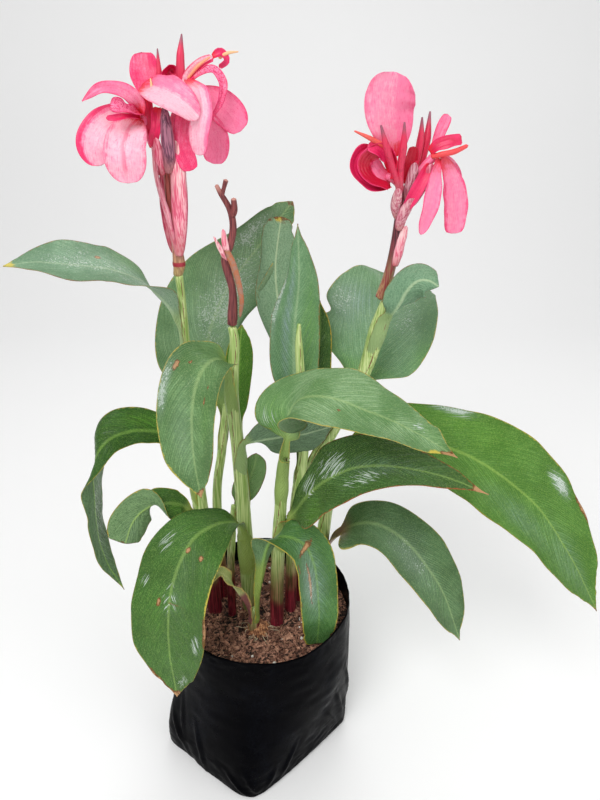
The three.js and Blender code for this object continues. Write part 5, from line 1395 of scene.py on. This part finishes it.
BLOOMS = {
    "bloom_left_side": dict(
        tube=dict(points=[(-72, 1, 650), (-75, -1, 662), (-77, -5, 671)], radii=[2.6, 3, 3.8]),
        petals=[
            dict(spine=[(-78, -5, 673), (-77, -12, 681), (-83, -16, 688), (-92, -20, 691),
                (-102, -24, 690), (-114, -26, 682)], half=5.6, widest=0.3, full=1.1,
                face=[FRONT, FRONT, (-0.3, -1, 0)], tone=0.2, edge=0.7, streak=0.1, dots=0.2, tip=0.4,
                frill=0.3),
            dict(spine=[(-78, -5, 671), (-92, -14, 670), (-103, -22, 663), (-109, -26, 652),
                (-107, -27, 638)], half=14.6, full=1, face=[FRONT, FRONT, (-0.2, -1, 0)], tone=0.06,
                edge=0.4, dots=0.1, side=0.6, split=0.5, tip=0.12, bend=24, frill=0.6),
            dict(spine=[(-78, -6, 671), (-82, -20, 664), (-85, -30, 652), (-85, -33, 640),
                (-85, -32, 626)], half=16.5, widest=0.62, full=1.15, face=[FRONT, FRONT, (0, -1, 0)],
                tone=0.04, streak=0.5, dots=0.1, tip=0.14, frill=0.6),
            dict(spine=[(-76, -7, 673), (-80, -20, 676), (-86, -27, 678), (-93, -29, 679)], half=5.6,
                widest=0.66, full=0.4, face=[(0, -1, 0.6), (0, -1, 0.6)], tone=0.5, edge=1, dots=0.8,
                bend=50, frill=1.6),
            dict(spine=[(-77, -8, 671), (-82, -24, 672), (-89, -31, 671), (-96, -33, 671)], half=2.6,
                full=0.5, tone=0.85, edge=0.9, dots=0.4, bend=60),
        ],
    ),
    "bloom_left_top": dict(
        tube=dict(points=[(-71, 5, 653), (-72, 3, 668), (-72, 1, 682)], radii=[2.2, 2.6, 3]),
        petals=[
            dict(spine=[(-71, 1, 682), (-72, 8, 694), (-75, 14, 705), (-76, 18, 716)], half=12, tone=0.72,
                edge=0.7, streak=0.4, dots=0.35, side=0.1, tip=-0.1, bend=26),
            dict(spine=[(-75, -4, 692), (-62, -14, 690), (-48, -22, 685), (-38, -24, 678),
                (-30, -22, 671)], half=13.6, widest=0.52, full=1,
                face=[(0, -0.8, 0.6), (0, -0.9, 0.7), (0.3, -1, 0.5)], tone=0.1, edge=0.5, dots=0.1,
                side=-0.36, split=0, tip=-0.2, bend=26, frill=0.7),
            dict(spine=[(-72, -2, 686), (-71, -4, 671), (-70, -3, 653)], half=4, widest=0.4, full=0.6,
                tone=1, edge=0.3, bend=40),
            dict(spine=[(-64, -2, 678), (-66, -6, 664), (-71, -4, 650)], half=4.6, widest=0.4, full=0.5,
                tone=0.9, edge=0.5, dots=0.3, bend=40),
            dict(spine=[(-54, 6, 693), (-58, 10, 700), (-54, 12, 705), (-50, 11, 702), (-53, 9, 697)],
                half=5.4, widest=0.5, full=0.5, face=[(1, -0.6, 0), (0, -0.8, -0.6), (-1, -0.6, 0)],
                tone=1, edge=1, dots=0.8, bend=50, frill=1.2),
        ],
        anthers=[
            dict(points=[(-68, -6, 685), (-66, -9, 690), (-66, -10, 697)], radii=[0.9, 1.2, 0.5], tone=0),
        ],
    ),
    "bloom_left_right": dict(
        tube=dict(points=[(-61, 3, 655), (-53, 2, 671), (-46, 1, 684)], radii=[2.6, 3, 3.6]),
        petals=[
            dict(spine=[(-45, 1, 689), (-40, 3, 699), (-31, 5, 707), (-21, 7, 712)], half=4.2, full=0.5,
                tone=0, edge=1, dots=0.3, side=0.8, split=0, bend=40),
            dict(spine=[(-21, 7, 712), (-15, 7, 715), (-11, 8, 710), (-17, 8, 706)], half=3.4, widest=0.5,
                full=0.5, face=[(0, -1, 1), (1, -0.6, 0), (0, -1, -1)], tone=0.85, edge=1, dots=0.5,
                bend=50, frill=0.8),
            dict(spine=[(-41, 1, 694), (-31, 2, 701), (-20, 2, 703), (-14, 0, 695), (-15, -4, 684),
                (-19, -9, 676), (-23, -13, 669)], half=3.4, widest=0.34, full=0.6,
                face=[(-0.3, -0.8, 0.9), (0.6, -1, 0.5), (0.6, -1, -0.2)], tone=0.28, edge=1, dots=0.9,
                tip=0.5, bend=40),
            dict(spine=[(-41, 0, 697), (-30, -13, 689), (-28, -19, 675), (-31, -22, 660),
                (-31, -21, 645)], half=8, widest=0.62, full=0.85,
                face=[(0, -0.5, 1), (0.2, -1, 0.2), (0, -1, -0.1)], tone=0.12, streak=0.1, dots=0.1,
                side=-0.3, split=0.4, bend=26),
            dict(spine=[(-38, 3, 688), (-24, 7, 683), (-11, 9, 674), (-2, 9, 661)], half=13, widest=0.62,
                full=0.95, face=[FRONT, FRONT, (0.3, -1, 0)], tone=0.34, edge=0.9, streak=0.2, dots=0.15,
                tip=0.12),
            dict(spine=[(-38, 2, 678), (-27, 5, 666), (-22, 6, 653), (-25, 5, 637)], half=11, widest=0.66,
                full=0.95, face=[FRONT, FRONT, (0, -1, 0)], tone=0.36, edge=0.7, dots=0.15, tip=0.12,
                bend=18),
            dict(spine=[(-44, -2, 679), (-46, -6, 664), (-46, -8, 649), (-41, -8, 633)], half=8,
                widest=0.7, full=0.7, face=[FRONT, FRONT, (0, -1, 0)], tone=0.6, edge=0.8, streak=0.3,
                dots=0.3, tip=0.1, bend=24),
        ],
        anthers=[
            dict(points=[(-40, 2, 698), (-32, 2, 706), (-23, 4, 712)], radii=[1, 1.3, 0.7], tone=0.45),
            dict(points=[(-16, 8, 712), (-10, 9, 715), (-2, 10, 716)], radii=[1.3, 1.3, 0.5], tone=0.15),
        ],
    ),
    "bloom_right_top": dict(
        tube=dict(points=[(123, -2, 627), (120, -4, 638), (117, -5, 646)], radii=[2, 2.4, 2.8]),
        petals=[
            dict(spine=[(120, -5, 643), (117, -9, 658), (112, -14, 676), (112, -18, 689),
                (114, -21, 701)], half=19.5, widest=0.64, full=1.1, face=[FRONT, FRONT, (0, -1, 0.4)],
                tone=0.28, edge=0.35, side=0.16, bend=22),
        ],
        anthers=[
            dict(points=[(118, -6, 645), (110, -13, 651), (98, -18, 657), (86, -22, 662)],
                radii=[1.5, 1.8, 1.8, 0.6], tone=0.9),
        ],
    ),
    "bloom_right_left": dict(
        tube=dict(points=[(126, 1, 620), (121, -3, 625), (115, -6, 629)], radii=[2.4, 2.8, 3.2]),
        petals=[
            dict(spine=[(118, -5, 621), (103, -10, 621), (91, -13, 628), (87, -13, 638), (92, -11, 648),
                (99, -9, 650)], half=5.6, widest=0.58, full=0.5,
                face=[(0.2, -0.6, 1), (0.9, -1, 0.5), (0.3, -1, -0.4)], tone=0.86, dots=0.3, bend=40),
            dict(spine=[(117, -7, 627), (116, -10, 641), (108, -12, 648), (99, -13, 645), (95, -13, 637),
                (101, -12, 628), (116, -9, 621)], half=7.4, widest=0.5, full=0.3, face=[(-1, -0.3, 0.4),
                (-0.3, -0.9, -1), (0.9, -0.9, -0.3), (0.3, -0.9, 1), (-0.3, -0.6, 1)], tone=1.15,
                edge=0.8, bend=10),
            dict(spine=[(117, -4, 622), (109, -7, 628), (102, -7, 636), (98, -6, 643)], half=8.5,
                full=0.5, tone=0.5, edge=0.3, side=-0.8, split=0.1, bend=-24),
            dict(spine=[(130, 3, 622), (134, 3, 638), (136, 3, 650)], half=5, full=0.6, tone=1.3, edge=0),
            dict(spine=[(115, -10, 640), (106, -15, 648), (97, -16, 652)], half=5, widest=0.66, full=0.5,
                tone=0.8, edge=1, dots=0.4, bend=40, frill=1.4),
        ],
    ),
    "bloom_right_side": dict(
        tube=dict(points=[(131, 1, 616), (140, 0, 630), (151, 0, 642)], radii=[2.4, 2.9, 3.6]),
        petals=[
            dict(spine=[(155, -2, 642), (152, -10, 626), (149, -16, 607), (143, -18, 585)], half=7,
                widest=0.55, full=1.1, face=[(0.5, -1, 0.3), (0.2, -1, 0), (0, -1, -0.2)], tone=0.38,
                edge=0.8, streak=0.1, bend=24),
            dict(spine=[(158, -1, 642), (168, 2, 625), (174, 4, 605), (175, 4, 582)], half=10.4,
                widest=0.64, full=0.64, face=[(0.5, -1, 0.5), (0.2, -1, 0), (0, -1, 0)], tone=0.34,
                edge=0.8, streak=0.1, side=0.3, split=0.5),
            dict(spine=[(158, 3, 643), (167, 7, 635), (172, 9, 624), (174, 9, 610)], half=6.4,
                face=[(0.5, -1, 0.5), (0.2, -1, 0), (0, -1, 0)], tone=0.3, edge=0.7),
            dict(spine=[(152, 1, 648), (156, 6, 660), (162, 10, 673)], half=4.8, widest=0.64, full=0.7,
                tone=0.5, edge=0.7, streak=0.3, dots=0.1, bend=30),
            dict(spine=[(148, -1, 646), (153, -4, 651), (162, -6, 654), (171, -6, 655)], half=5.4,
                widest=0.72, full=0.4, face=[(0, -1, 0.6), (0, -1, 0.6)], tone=0.95, dots=0.1, bend=30),
            dict(spine=[(149, -3, 637), (142, -8, 625), (134, -8, 609), (131, -4, 602)], half=5.4,
                widest=0.5, full=0.6, tone=0.85, edge=0.8, bend=40),
        ],
        anthers=[
            dict(points=[(150, -3, 643), (157, -7, 645), (166, -8, 647), (175, -8, 651)],
                radii=[1.9, 2.2, 2.2, 1.5], tone=1),
        ],
    ),
}

# ---------------- bag, potting mix, rootstock

BAG = {
    "film": 1.4, "rim": {"z": 178, "x": 3, "y": 5, "radius": 98},
    # The base is a rounded square: direction of each side's outward normal, and its distance.
    "base": [(235, 107), (312.7, 88), (44, 62), (144, 68)],
    "corner": 10, "edge": 5, "belly": 3, "round": 0.75, "lip_from": 150,
    # Points round the film, and rings up its outer side and down its inner side.
    "sides": 288, "rings": 100, "inner_rings": 28,
}
# Creases of the film: angle and height of both ends, width and height of the ridge. Angles count
# as lengths round a drum of the girth's radius.
GIRTH = 100
BAG_FOLDS = [
    (205, 60, 222, 4, 3.0, 2.6), (212, 92, 219, 18, 2.4, 1.8), (226, 70, 236, 2, 3.2, 2.2),
    (186, 120, 196, 30, 5.0, 2.2), (250, 30, 268, 3, 3.0, 2.4), (262, 42, 272, 2, 2.6, 2.6),
    (282, 34, 274, 3, 3.0, 2.2), (298, 50, 283, 4, 3.4, 2.4), (331, 86, 344, 8, 3.6, 3.0),
    (342, 110, 352, 30, 3.4, 2.6), (350, 60, 358, 6, 4.2, 2.6), (320, 70, 338, 16, 3.0, 1.8),
    (172, 70, 184, 10, 4.0, 2.4), (100, 60, 94, 5, 4.0, 2.5), (60, 80, 78, 10, 4.0, 2.2),
    (20, 90, 8, 12, 4.0, 2.4), (140, 110, 150, 30, 5.0, 1.8), (120, 40, 100, 6, 3.2, 2.2),
]
SOIL = {
    "z": 150, "mound": 5, "gap": 0.6, "x": 3, "y": 5, "radius": 96, "sunk": 1.2, "brim": (144, 147, 149),
    # Points round the mix, and rings up its side and over its top.
    "sides": 240, "rings": 24, "top_rings": 84,
}
CHIPS, FIBRES, PERLITE, ROOTS = 700, 420, 60, 90


def bag_radius(angle, z):
    """Distance from the axis to the bag's side before the film creases."""
    reach = sum(
        (np.maximum(0, np.cos(angle - math.radians(side))) / length) ** BAG["corner"]
        for side, length in BAG["base"]
    )
    square = reach ** (-1 / BAG["corner"])
    rim = BAG["rim"]
    to_rim = rim["x"] * np.cos(angle) + rim["y"] * np.sin(angle) + rim["radius"]
    share = np.clip(z / rim["z"], 0, 1)
    belly = BAG["belly"] * np.sin(np.pi * share)
    return mix(square, to_rim, ease(share / BAG["round"])) + belly


def creases(angle, z):
    """Height of the ridges of creased film."""
    height = 0 * angle * z
    for first, low, last, high, width, rise in BAG_FOLDS:
        start = np.array([math.radians(first) * GIRTH, low])
        span = np.array([math.radians(last) * GIRTH, high]) - start
        off = (angle * GIRTH - start[0] + np.pi * GIRTH) % (2 * np.pi * GIRTH) - np.pi * GIRTH
        rest = z - start[1]
        share = np.clip((off * span[0] + rest * span[1]) / (span @ span), 0, 1)
        side = (off * span[1] - rest * span[0]) / np.linalg.norm(span)
        past = np.hypot(off - share * span[0], rest - share * span[1])
        ridge = np.exp(-((past / width) ** 2)) * np.sin(np.pi * np.clip(share, 0.08, 0.92))
        lean = 1 + 0.8 * np.tanh(side / width)
        height = height + rise * ridge * lean - 0.3 * rise * np.exp(-((past / width / 2.4) ** 2))
    return height


def on_drum(angle, z):
    """Places on a plain drum, so that noise read there meets itself round the back."""
    return np.stack([60 * np.cos(angle), 60 * np.sin(angle), z], -1)


def bag_wall(angle, z):
    """Radius of the creased wall."""
    stretched = on_drum(angle, z / 3.2)
    upright = stretched * [1, 1, 3.2]
    loose = 1.6 * noise(stretched, 17, 5) + 0.7 * noise(upright, 9, 6)
    crumple = 0.45 * (1 - np.abs(noise(upright, 6, 7)) * 2)
    foot = 1 - ease(z / 60)
    wall = bag_radius(angle, z) + creases(angle, z) + loose * (0.5 + 0.5 * foot) + crumple * foot
    return wall + 0.5 * noise(upright, 4, 8) * ease((z - 160) / 10)


def make_grow_bag():
    edge, rim, film = BAG["edge"], BAG["rim"]["z"], BAG["film"]
    turn = 2 * np.pi * np.arange(BAG["sides"]) / BAG["sides"]
    corner = np.linspace(0, np.pi / 2, 6)
    side = np.linspace(edge, rim, BAG["rings"])[1:]
    heights = np.concatenate([edge - edge * np.cos(corner), side])
    inset = np.concatenate([edge - edge * np.sin(corner), 0 * side])
    angle, z = np.meshgrid(turn, heights)
    wall = bag_wall(angle, z)
    lip = 1.1 * noise(on_drum(turn, 0 * turn), 14, 9)
    low, wavy = BAG["lip_from"], rim - BAG["lip_from"]
    z_out = z + lip * ease((z - low) / wavy)
    outer = np.stack([(wall - inset[:, None]) * f(angle) for f in (np.cos, np.sin)] + [z_out], -1)
    outer[..., 2] = np.maximum(outer[..., 2], 0)
    angle_in, z_in = np.meshgrid(turn, np.linspace(rim, edge + film, BAG["inner_rings"]))
    wall_in = bag_wall(angle_in, z_in) - film
    z_in = z_in + lip * ease((z_in - low) / wavy)
    inner = np.stack([wall_in * np.cos(angle_in), wall_in * np.sin(angle_in), z_in], -1)
    bead = (outer[-1] + inner[0]) / 2 + [0, 0, 0.5]
    rings = np.concatenate([outer, bead[None], inner])
    bare = np.zeros_like(rings)
    shell = Shell()
    shell.rings(rings, bare, bare, (0, 0, 0), (0, 0, edge + film))
    return shell.piece("grow_bag_film", [FINISHES["film"]])


def crumbs(x, y):
    """Height of the crumbled surface of the potting mix over its smooth mound."""
    at = np.stack([x, y, 0 * x], -1)
    coarse = 2.2 * noise(at, 19, 11) + 1.7 * noise(at, 8, 12)
    fine = 1.1 * noise(at, 3.6, 13) + 0.6 * noise(at, 1.9, 14)
    pits = -2.2 * ease((noise(at, 6, 15) - 0.25) / 0.3)
    return coarse + fine + pits


def mix_height(x, y):
    share = np.hypot(x - SOIL["x"], y - SOIL["y"]) / SOIL["radius"]
    mound = SOIL["mound"] * (1 - share**2)
    return SOIL["z"] + mound + crumbs(x, y) * (1 - share**8) - SOIL["sunk"]


def make_potting_mix():
    turn = 2 * np.pi * np.arange(SOIL["sides"]) / SOIL["sides"]
    floor = BAG["edge"] + BAG["film"] + SOIL["gap"]
    inset = BAG["film"] + SOIL["gap"]
    heights = np.concatenate([np.linspace(floor, 140, SOIL["rings"]), SOIL["brim"]])
    angle, z = np.meshgrid(turn, heights)
    wall = bag_wall(angle, z) - inset
    sides = np.stack([wall * np.cos(angle), wall * np.sin(angle), z], -1)
    share = np.linspace(1, 0.02, SOIL["top_rings"])[1:, None]
    brim = wall[-1]
    x, y = share * brim * np.cos(turn), share * brim * np.sin(turn)
    top = np.stack([x, y, mix_height(x, y)], -1)
    rings = np.concatenate([sides, top])
    # Height of the crumbs, low in the pits where the finish paints shade, 1 on the sides.
    depth = np.concatenate([np.ones_like(z), ease((crumbs(x, y) + 2.5) / 2.5)])
    zero = np.zeros_like(depth)
    mark = np.stack([zero, zero, depth], -1)
    shell = Shell()
    shell.rings(rings, np.zeros_like(rings), mark, (0, 0, floor), (0, 0, float(mix_height(0, 0))))
    return shell.piece("potting_mix_crumbs", [FINISHES["soil"]])


def ball(detail):
    """Corners and triangles of a round solid."""
    mesh = bpy.data.meshes.new("ball")
    form = bmesh.new()
    bmesh.ops.create_icosphere(form, subdivisions=detail, radius=1)
    form.to_mesh(mesh)
    form.free()
    corners = np.array([corner.co[:] for corner in mesh.vertices])
    faces = np.array([face.vertices[:] for face in mesh.polygons])
    bpy.data.meshes.remove(mesh)
    return corners, faces


def scattered(random, count, reach):
    """Places on the potting mix, clear of its brim."""
    angle = random.uniform(0, 2 * np.pi, count)
    far = reach * np.sqrt(random.uniform(0, 1, count))
    x, y = SOIL["x"] + far * np.cos(angle), SOIL["y"] + far * np.sin(angle)
    return np.stack([x, y, mix_height(x, y)], -1)


def turns(random, count, tilt):
    """Random orientations, mostly flat: a rotation matrix for each."""
    spin = random.uniform(0, 2 * np.pi, count)
    lean = random.normal(0, tilt, (count, 2))
    matrices = [
        np.array((Matrix.Rotation(a, 3, "X") @ Matrix.Rotation(b, 3, "Y")
                  @ Matrix.Rotation(c, 3, "Z")))
        for (a, b), c in zip(lean, spin)
    ]
    return np.array(matrices)


def make_chips():
    random = np.random.default_rng(21)
    corners, faces = ball(2)
    size = np.stack([
        random.gamma(3, 0.85, CHIPS) + 0.8, random.gamma(3, 0.45, CHIPS) + 0.5,
        random.uniform(0.35, 1.1, CHIPS),
    ], -1)
    rough = 1 + 0.3 * random.uniform(-1, 1, (CHIPS, len(corners)))
    shapes = corners[None] * rough[..., None] * size[:, None]
    shapes = np.einsum("nij,nkj->nki", turns(random, CHIPS, 0.5), shapes)
    places = scattered(random, CHIPS, 88)[:, None] + shapes + [0, 0, 0.2]
    tone = random.uniform(0, 1, CHIPS) ** 1.4
    zero = np.zeros(CHIPS)
    shell = Shell()
    shell.solids(faces, places, np.zeros((CHIPS, 3)), np.stack([zero, zero, tone], -1))
    return shell.piece("coir_chips", [FINISHES["fibre"]], smooth=False)


def make_fibres():
    random = np.random.default_rng(22)
    shell = Shell()
    for start in scattered(random, FIBRES, 86):
        length = random.uniform(8, 30)
        heading = random.uniform(0, 2 * np.pi)
        bends = heading + np.cumsum(random.normal(0, 0.35, 5))
        steps = np.stack([np.cos(bends), np.sin(bends)], -1) * length / 5
        flat = start[:2] + np.vstack([[0, 0], np.cumsum(steps, 0)])
        inside = np.hypot(flat[:, 0] - SOIL["x"], flat[:, 1] - SOIL["y"]) < 92
        flat = flat[: max(3, int(inside.sum()))]
        if not inside[: len(flat)].all():
            continue
        high = mix_height(flat[:, 0], flat[:, 1]) + 0.4 + random.uniform(0, 1.6, len(flat))
        radius = random.uniform(0.14, 0.36)
        points = np.column_stack([flat, high])
        radii = [radius] * (len(points) - 1) + [radius * 0.4]
        add_stem(shell, points, radii, sides=5, step=length / 8, tone=random.uniform(0.2, 1))
    return shell.piece("coir_fibres", [FINISHES["fibre"]])


def make_perlite():
    """White grains, more than half of them spilt to the right of the shoots."""
    random = np.random.default_rng(23)
    corners, faces = ball(2)
    places = scattered(random, PERLITE, 86)
    spilt = 34
    places[:spilt, 0] = random.uniform(44, 78, spilt)
    places[:spilt, 1] = random.uniform(-38, 20, spilt)
    places[:, 2] = mix_height(places[:, 0], places[:, 1]) + 0.3
    size = random.uniform(0.5, 1.9, (PERLITE, 1, 1))
    rough = 1 + 0.22 * random.uniform(-1, 1, (PERLITE, len(corners), 1))
    shell = Shell()
    zero = np.zeros((PERLITE, 3))
    shell.solids(faces, places[:, None] + corners[None] * size * rough, zero, zero)
    return shell.piece("perlite_grains", [FINISHES["perlite"]])


RHIZOME = {"middle": (-2, -22, 149), "size": (14, 13, 11), "rings": 66, "sides": 110}


def make_rhizome():
    level = np.linspace(-np.pi / 2, np.pi / 2, RHIZOME["rings"])[1:-1, None]
    turn = (2 * np.pi * np.arange(RHIZOME["sides"]) / RHIZOME["sides"])[None]
    ball_points = np.stack([
        np.cos(level) * np.cos(turn), np.cos(level) * np.sin(turn), np.sin(level) + 0 * turn,
    ], -1)
    x, y, z = np.moveaxis(ball_points, -1, 0)
    knobs = 0.09 * np.sin(7 * x + 2) * np.sin(6 * y + 1) * np.cos(5 * z)
    rings = 0.025 * np.cos(34 * (x + 0.3 * z)) * ease((noise(ball_points, 0.8, 31) + 0.4) / 0.5)
    fuzz = 0.05 * noise(ball_points, 0.22, 32) + 0.03 * noise(ball_points, 0.09, 33)
    grown = 1 + knobs + rings + fuzz
    points = ball_points * grown[..., None] * RHIZOME["size"] + RHIZOME["middle"]
    tone = ease((fuzz + rings) / 0.12 + 0.5)
    zero = np.zeros_like(tone)
    poles = [np.array(RHIZOME["middle"]) + [0, 0, sign * RHIZOME["size"][2]] for sign in (-1, 1)]
    shell = Shell()
    shell.rings(points, np.stack([zero] * 3, -1), np.stack([zero, zero, tone], -1), *poles)
    return shell.piece("rootstock_knob", [FINISHES["rootstock"]])


def make_roots():
    """Young white roots and brown threads that leave the rootstock and dive into the mix."""
    random = np.random.default_rng(34)
    shell = Shell()
    for number in range(ROOTS):
        heading = random.uniform(0, 2 * np.pi)
        rise = random.uniform(0.1, 0.7)
        out = np.array([np.cos(heading), np.sin(heading), rise])
        start = np.array(RHIZOME["middle"]) + unit(out) * RHIZOME["size"] * 0.96
        reach = random.uniform(5, 16)
        steps = [start]
        for share in (0.35, 0.7, 1):
            side = random.normal(0, 1.6, 3)
            steps.append(start + out * [1, 1, 0] * reach * share + side + [0, 0, 2 - 9 * share**2])
        points = np.array(steps)
        ground = mix_height(points[:, 0], points[:, 1])
        points[-1, 2] = min(points[-1, 2], ground[-1] - 1)
        radius = random.uniform(0.16, 0.42)
        radii = [radius, radius, radius * 0.8, radius * 0.5]
        add_stem(shell, points, radii, sides=6, step=1.5, finish=number % 2)
    return shell.piece("roots", [FINISHES["root"], FINISHES["fibre"]])


# ---------------- the plant

FIRST_SEED = {"leaf": 40, "stalk": 80, "bloom": 120}

rests(make_grow_bag(), "bag_film", "grow_bag")
rests(make_potting_mix(), "potting_mix", "potting_mix")
rests(make_chips(), "potting_mix")
rests(make_fibres(), "potting_mix")
rests(make_perlite(), "potting_mix")
rests(make_rhizome(), "rootstock", "rhizome")
rests(make_roots(), "rootstock")

for seed, (name, shoot) in enumerate(SHOOTS.items()):
    rests(grow_shoot(f"{name}_ribbed", shoot, seed), "shoot", name)
for seed, (name, leaf) in enumerate(LEAVES.items()):
    kind = "dry_leaf" if name == "leaf_withered" else "leaf"
    rests(grow_leaf(f"{name}_blade", {**USUAL_LEAF, **leaf}, FIRST_SEED["leaf"] + seed), kind, name)
for seed, (name, stalk) in enumerate(FLOWER_STALKS.items()):
    kind = "spent_stalk" if name == "flower_stalk_spent" else "flower_stalk"
    rests(grow_stalk(f"{name}_bracted", stalk, FIRST_SEED["stalk"] + 10 * seed), kind, name)
for seed, (name, bloom) in enumerate(BLOOMS.items()):
    rests(open_bloom(f"{name}_petals", bloom, FIRST_SEED["bloom"] + 10 * seed), "petal", name)

# ---------------- floor, light and camera


def lay_floor():
    """A pale floor that curves up behind the plant."""
    width, front, back, bend, top = 4.0, -2.5, 1.4, 0.8, 3.0
    arc = np.linspace(0, np.pi / 2, 24)
    run = np.concatenate([[front], back + bend * np.sin(arc), [back + bend]])
    rise = np.concatenate([[0], bend - bend * np.cos(arc), [top]])
    points = [(x, y, z) for y, z in zip(run, rise) for x in (-width, width)]
    faces = [(2 * i, 2 * i + 1, 2 * i + 3, 2 * i + 2) for i in range(len(run) - 1)]
    mesh = bpy.data.meshes.new("floor")
    mesh.from_pydata(points, [], faces)
    mesh.polygons.foreach_set("use_smooth", [True] * len(faces))
    mesh.materials.append(finish("pale floor", (0.97, 0.97, 0.97, 1), 0.9))
    floor = new_object("floor", mesh)


def hang_light(name, at, towards, size, power):
    lamp = bpy.data.lights.new(name, "AREA")
    lamp.shape, lamp.size, lamp.energy = "DISK", size, power
    light = new_object(name, lamp)
    light.location = at
    light.rotation_euler = (Vector(towards) - Vector(at)).to_track_quat("-Z", "Y").to_euler()


lay_floor()
hang_light("overhead softbox", (-0.6, -1.3, 1.9), (0.05, 0, 0.35), 1.3, 26)
hang_light("side softbox", (1.7, -1.0, 1.2), (0.05, 0, 0.35), 1.4, 9)
hang_light("back softbox", (0.2, 1.2, 2.0), (0.05, 0, 0.4), 1.2, 8)

world = bpy.data.worlds.new("white studio")
world.use_nodes = True
world.node_tree.nodes["Background"].inputs["Color"].default_value = (1, 1, 1, 1)
world.node_tree.nodes["Background"].inputs["Strength"].default_value = 0.52
bpy.context.scene.world = world
bpy.context.scene.view_settings.view_transform = "Standard"

lens = bpy.data.cameras.new("camera")
lens.lens, lens.sensor_width, lens.sensor_fit = CAMERA_LENS, CAMERA_SENSOR, "AUTO"
camera = new_object("camera", lens)
camera.location = CAMERA_AT
camera.rotation_euler = (math.pi / 2 - CAMERA_DOWN, 0, 0)
bpy.context.scene.camera = camera
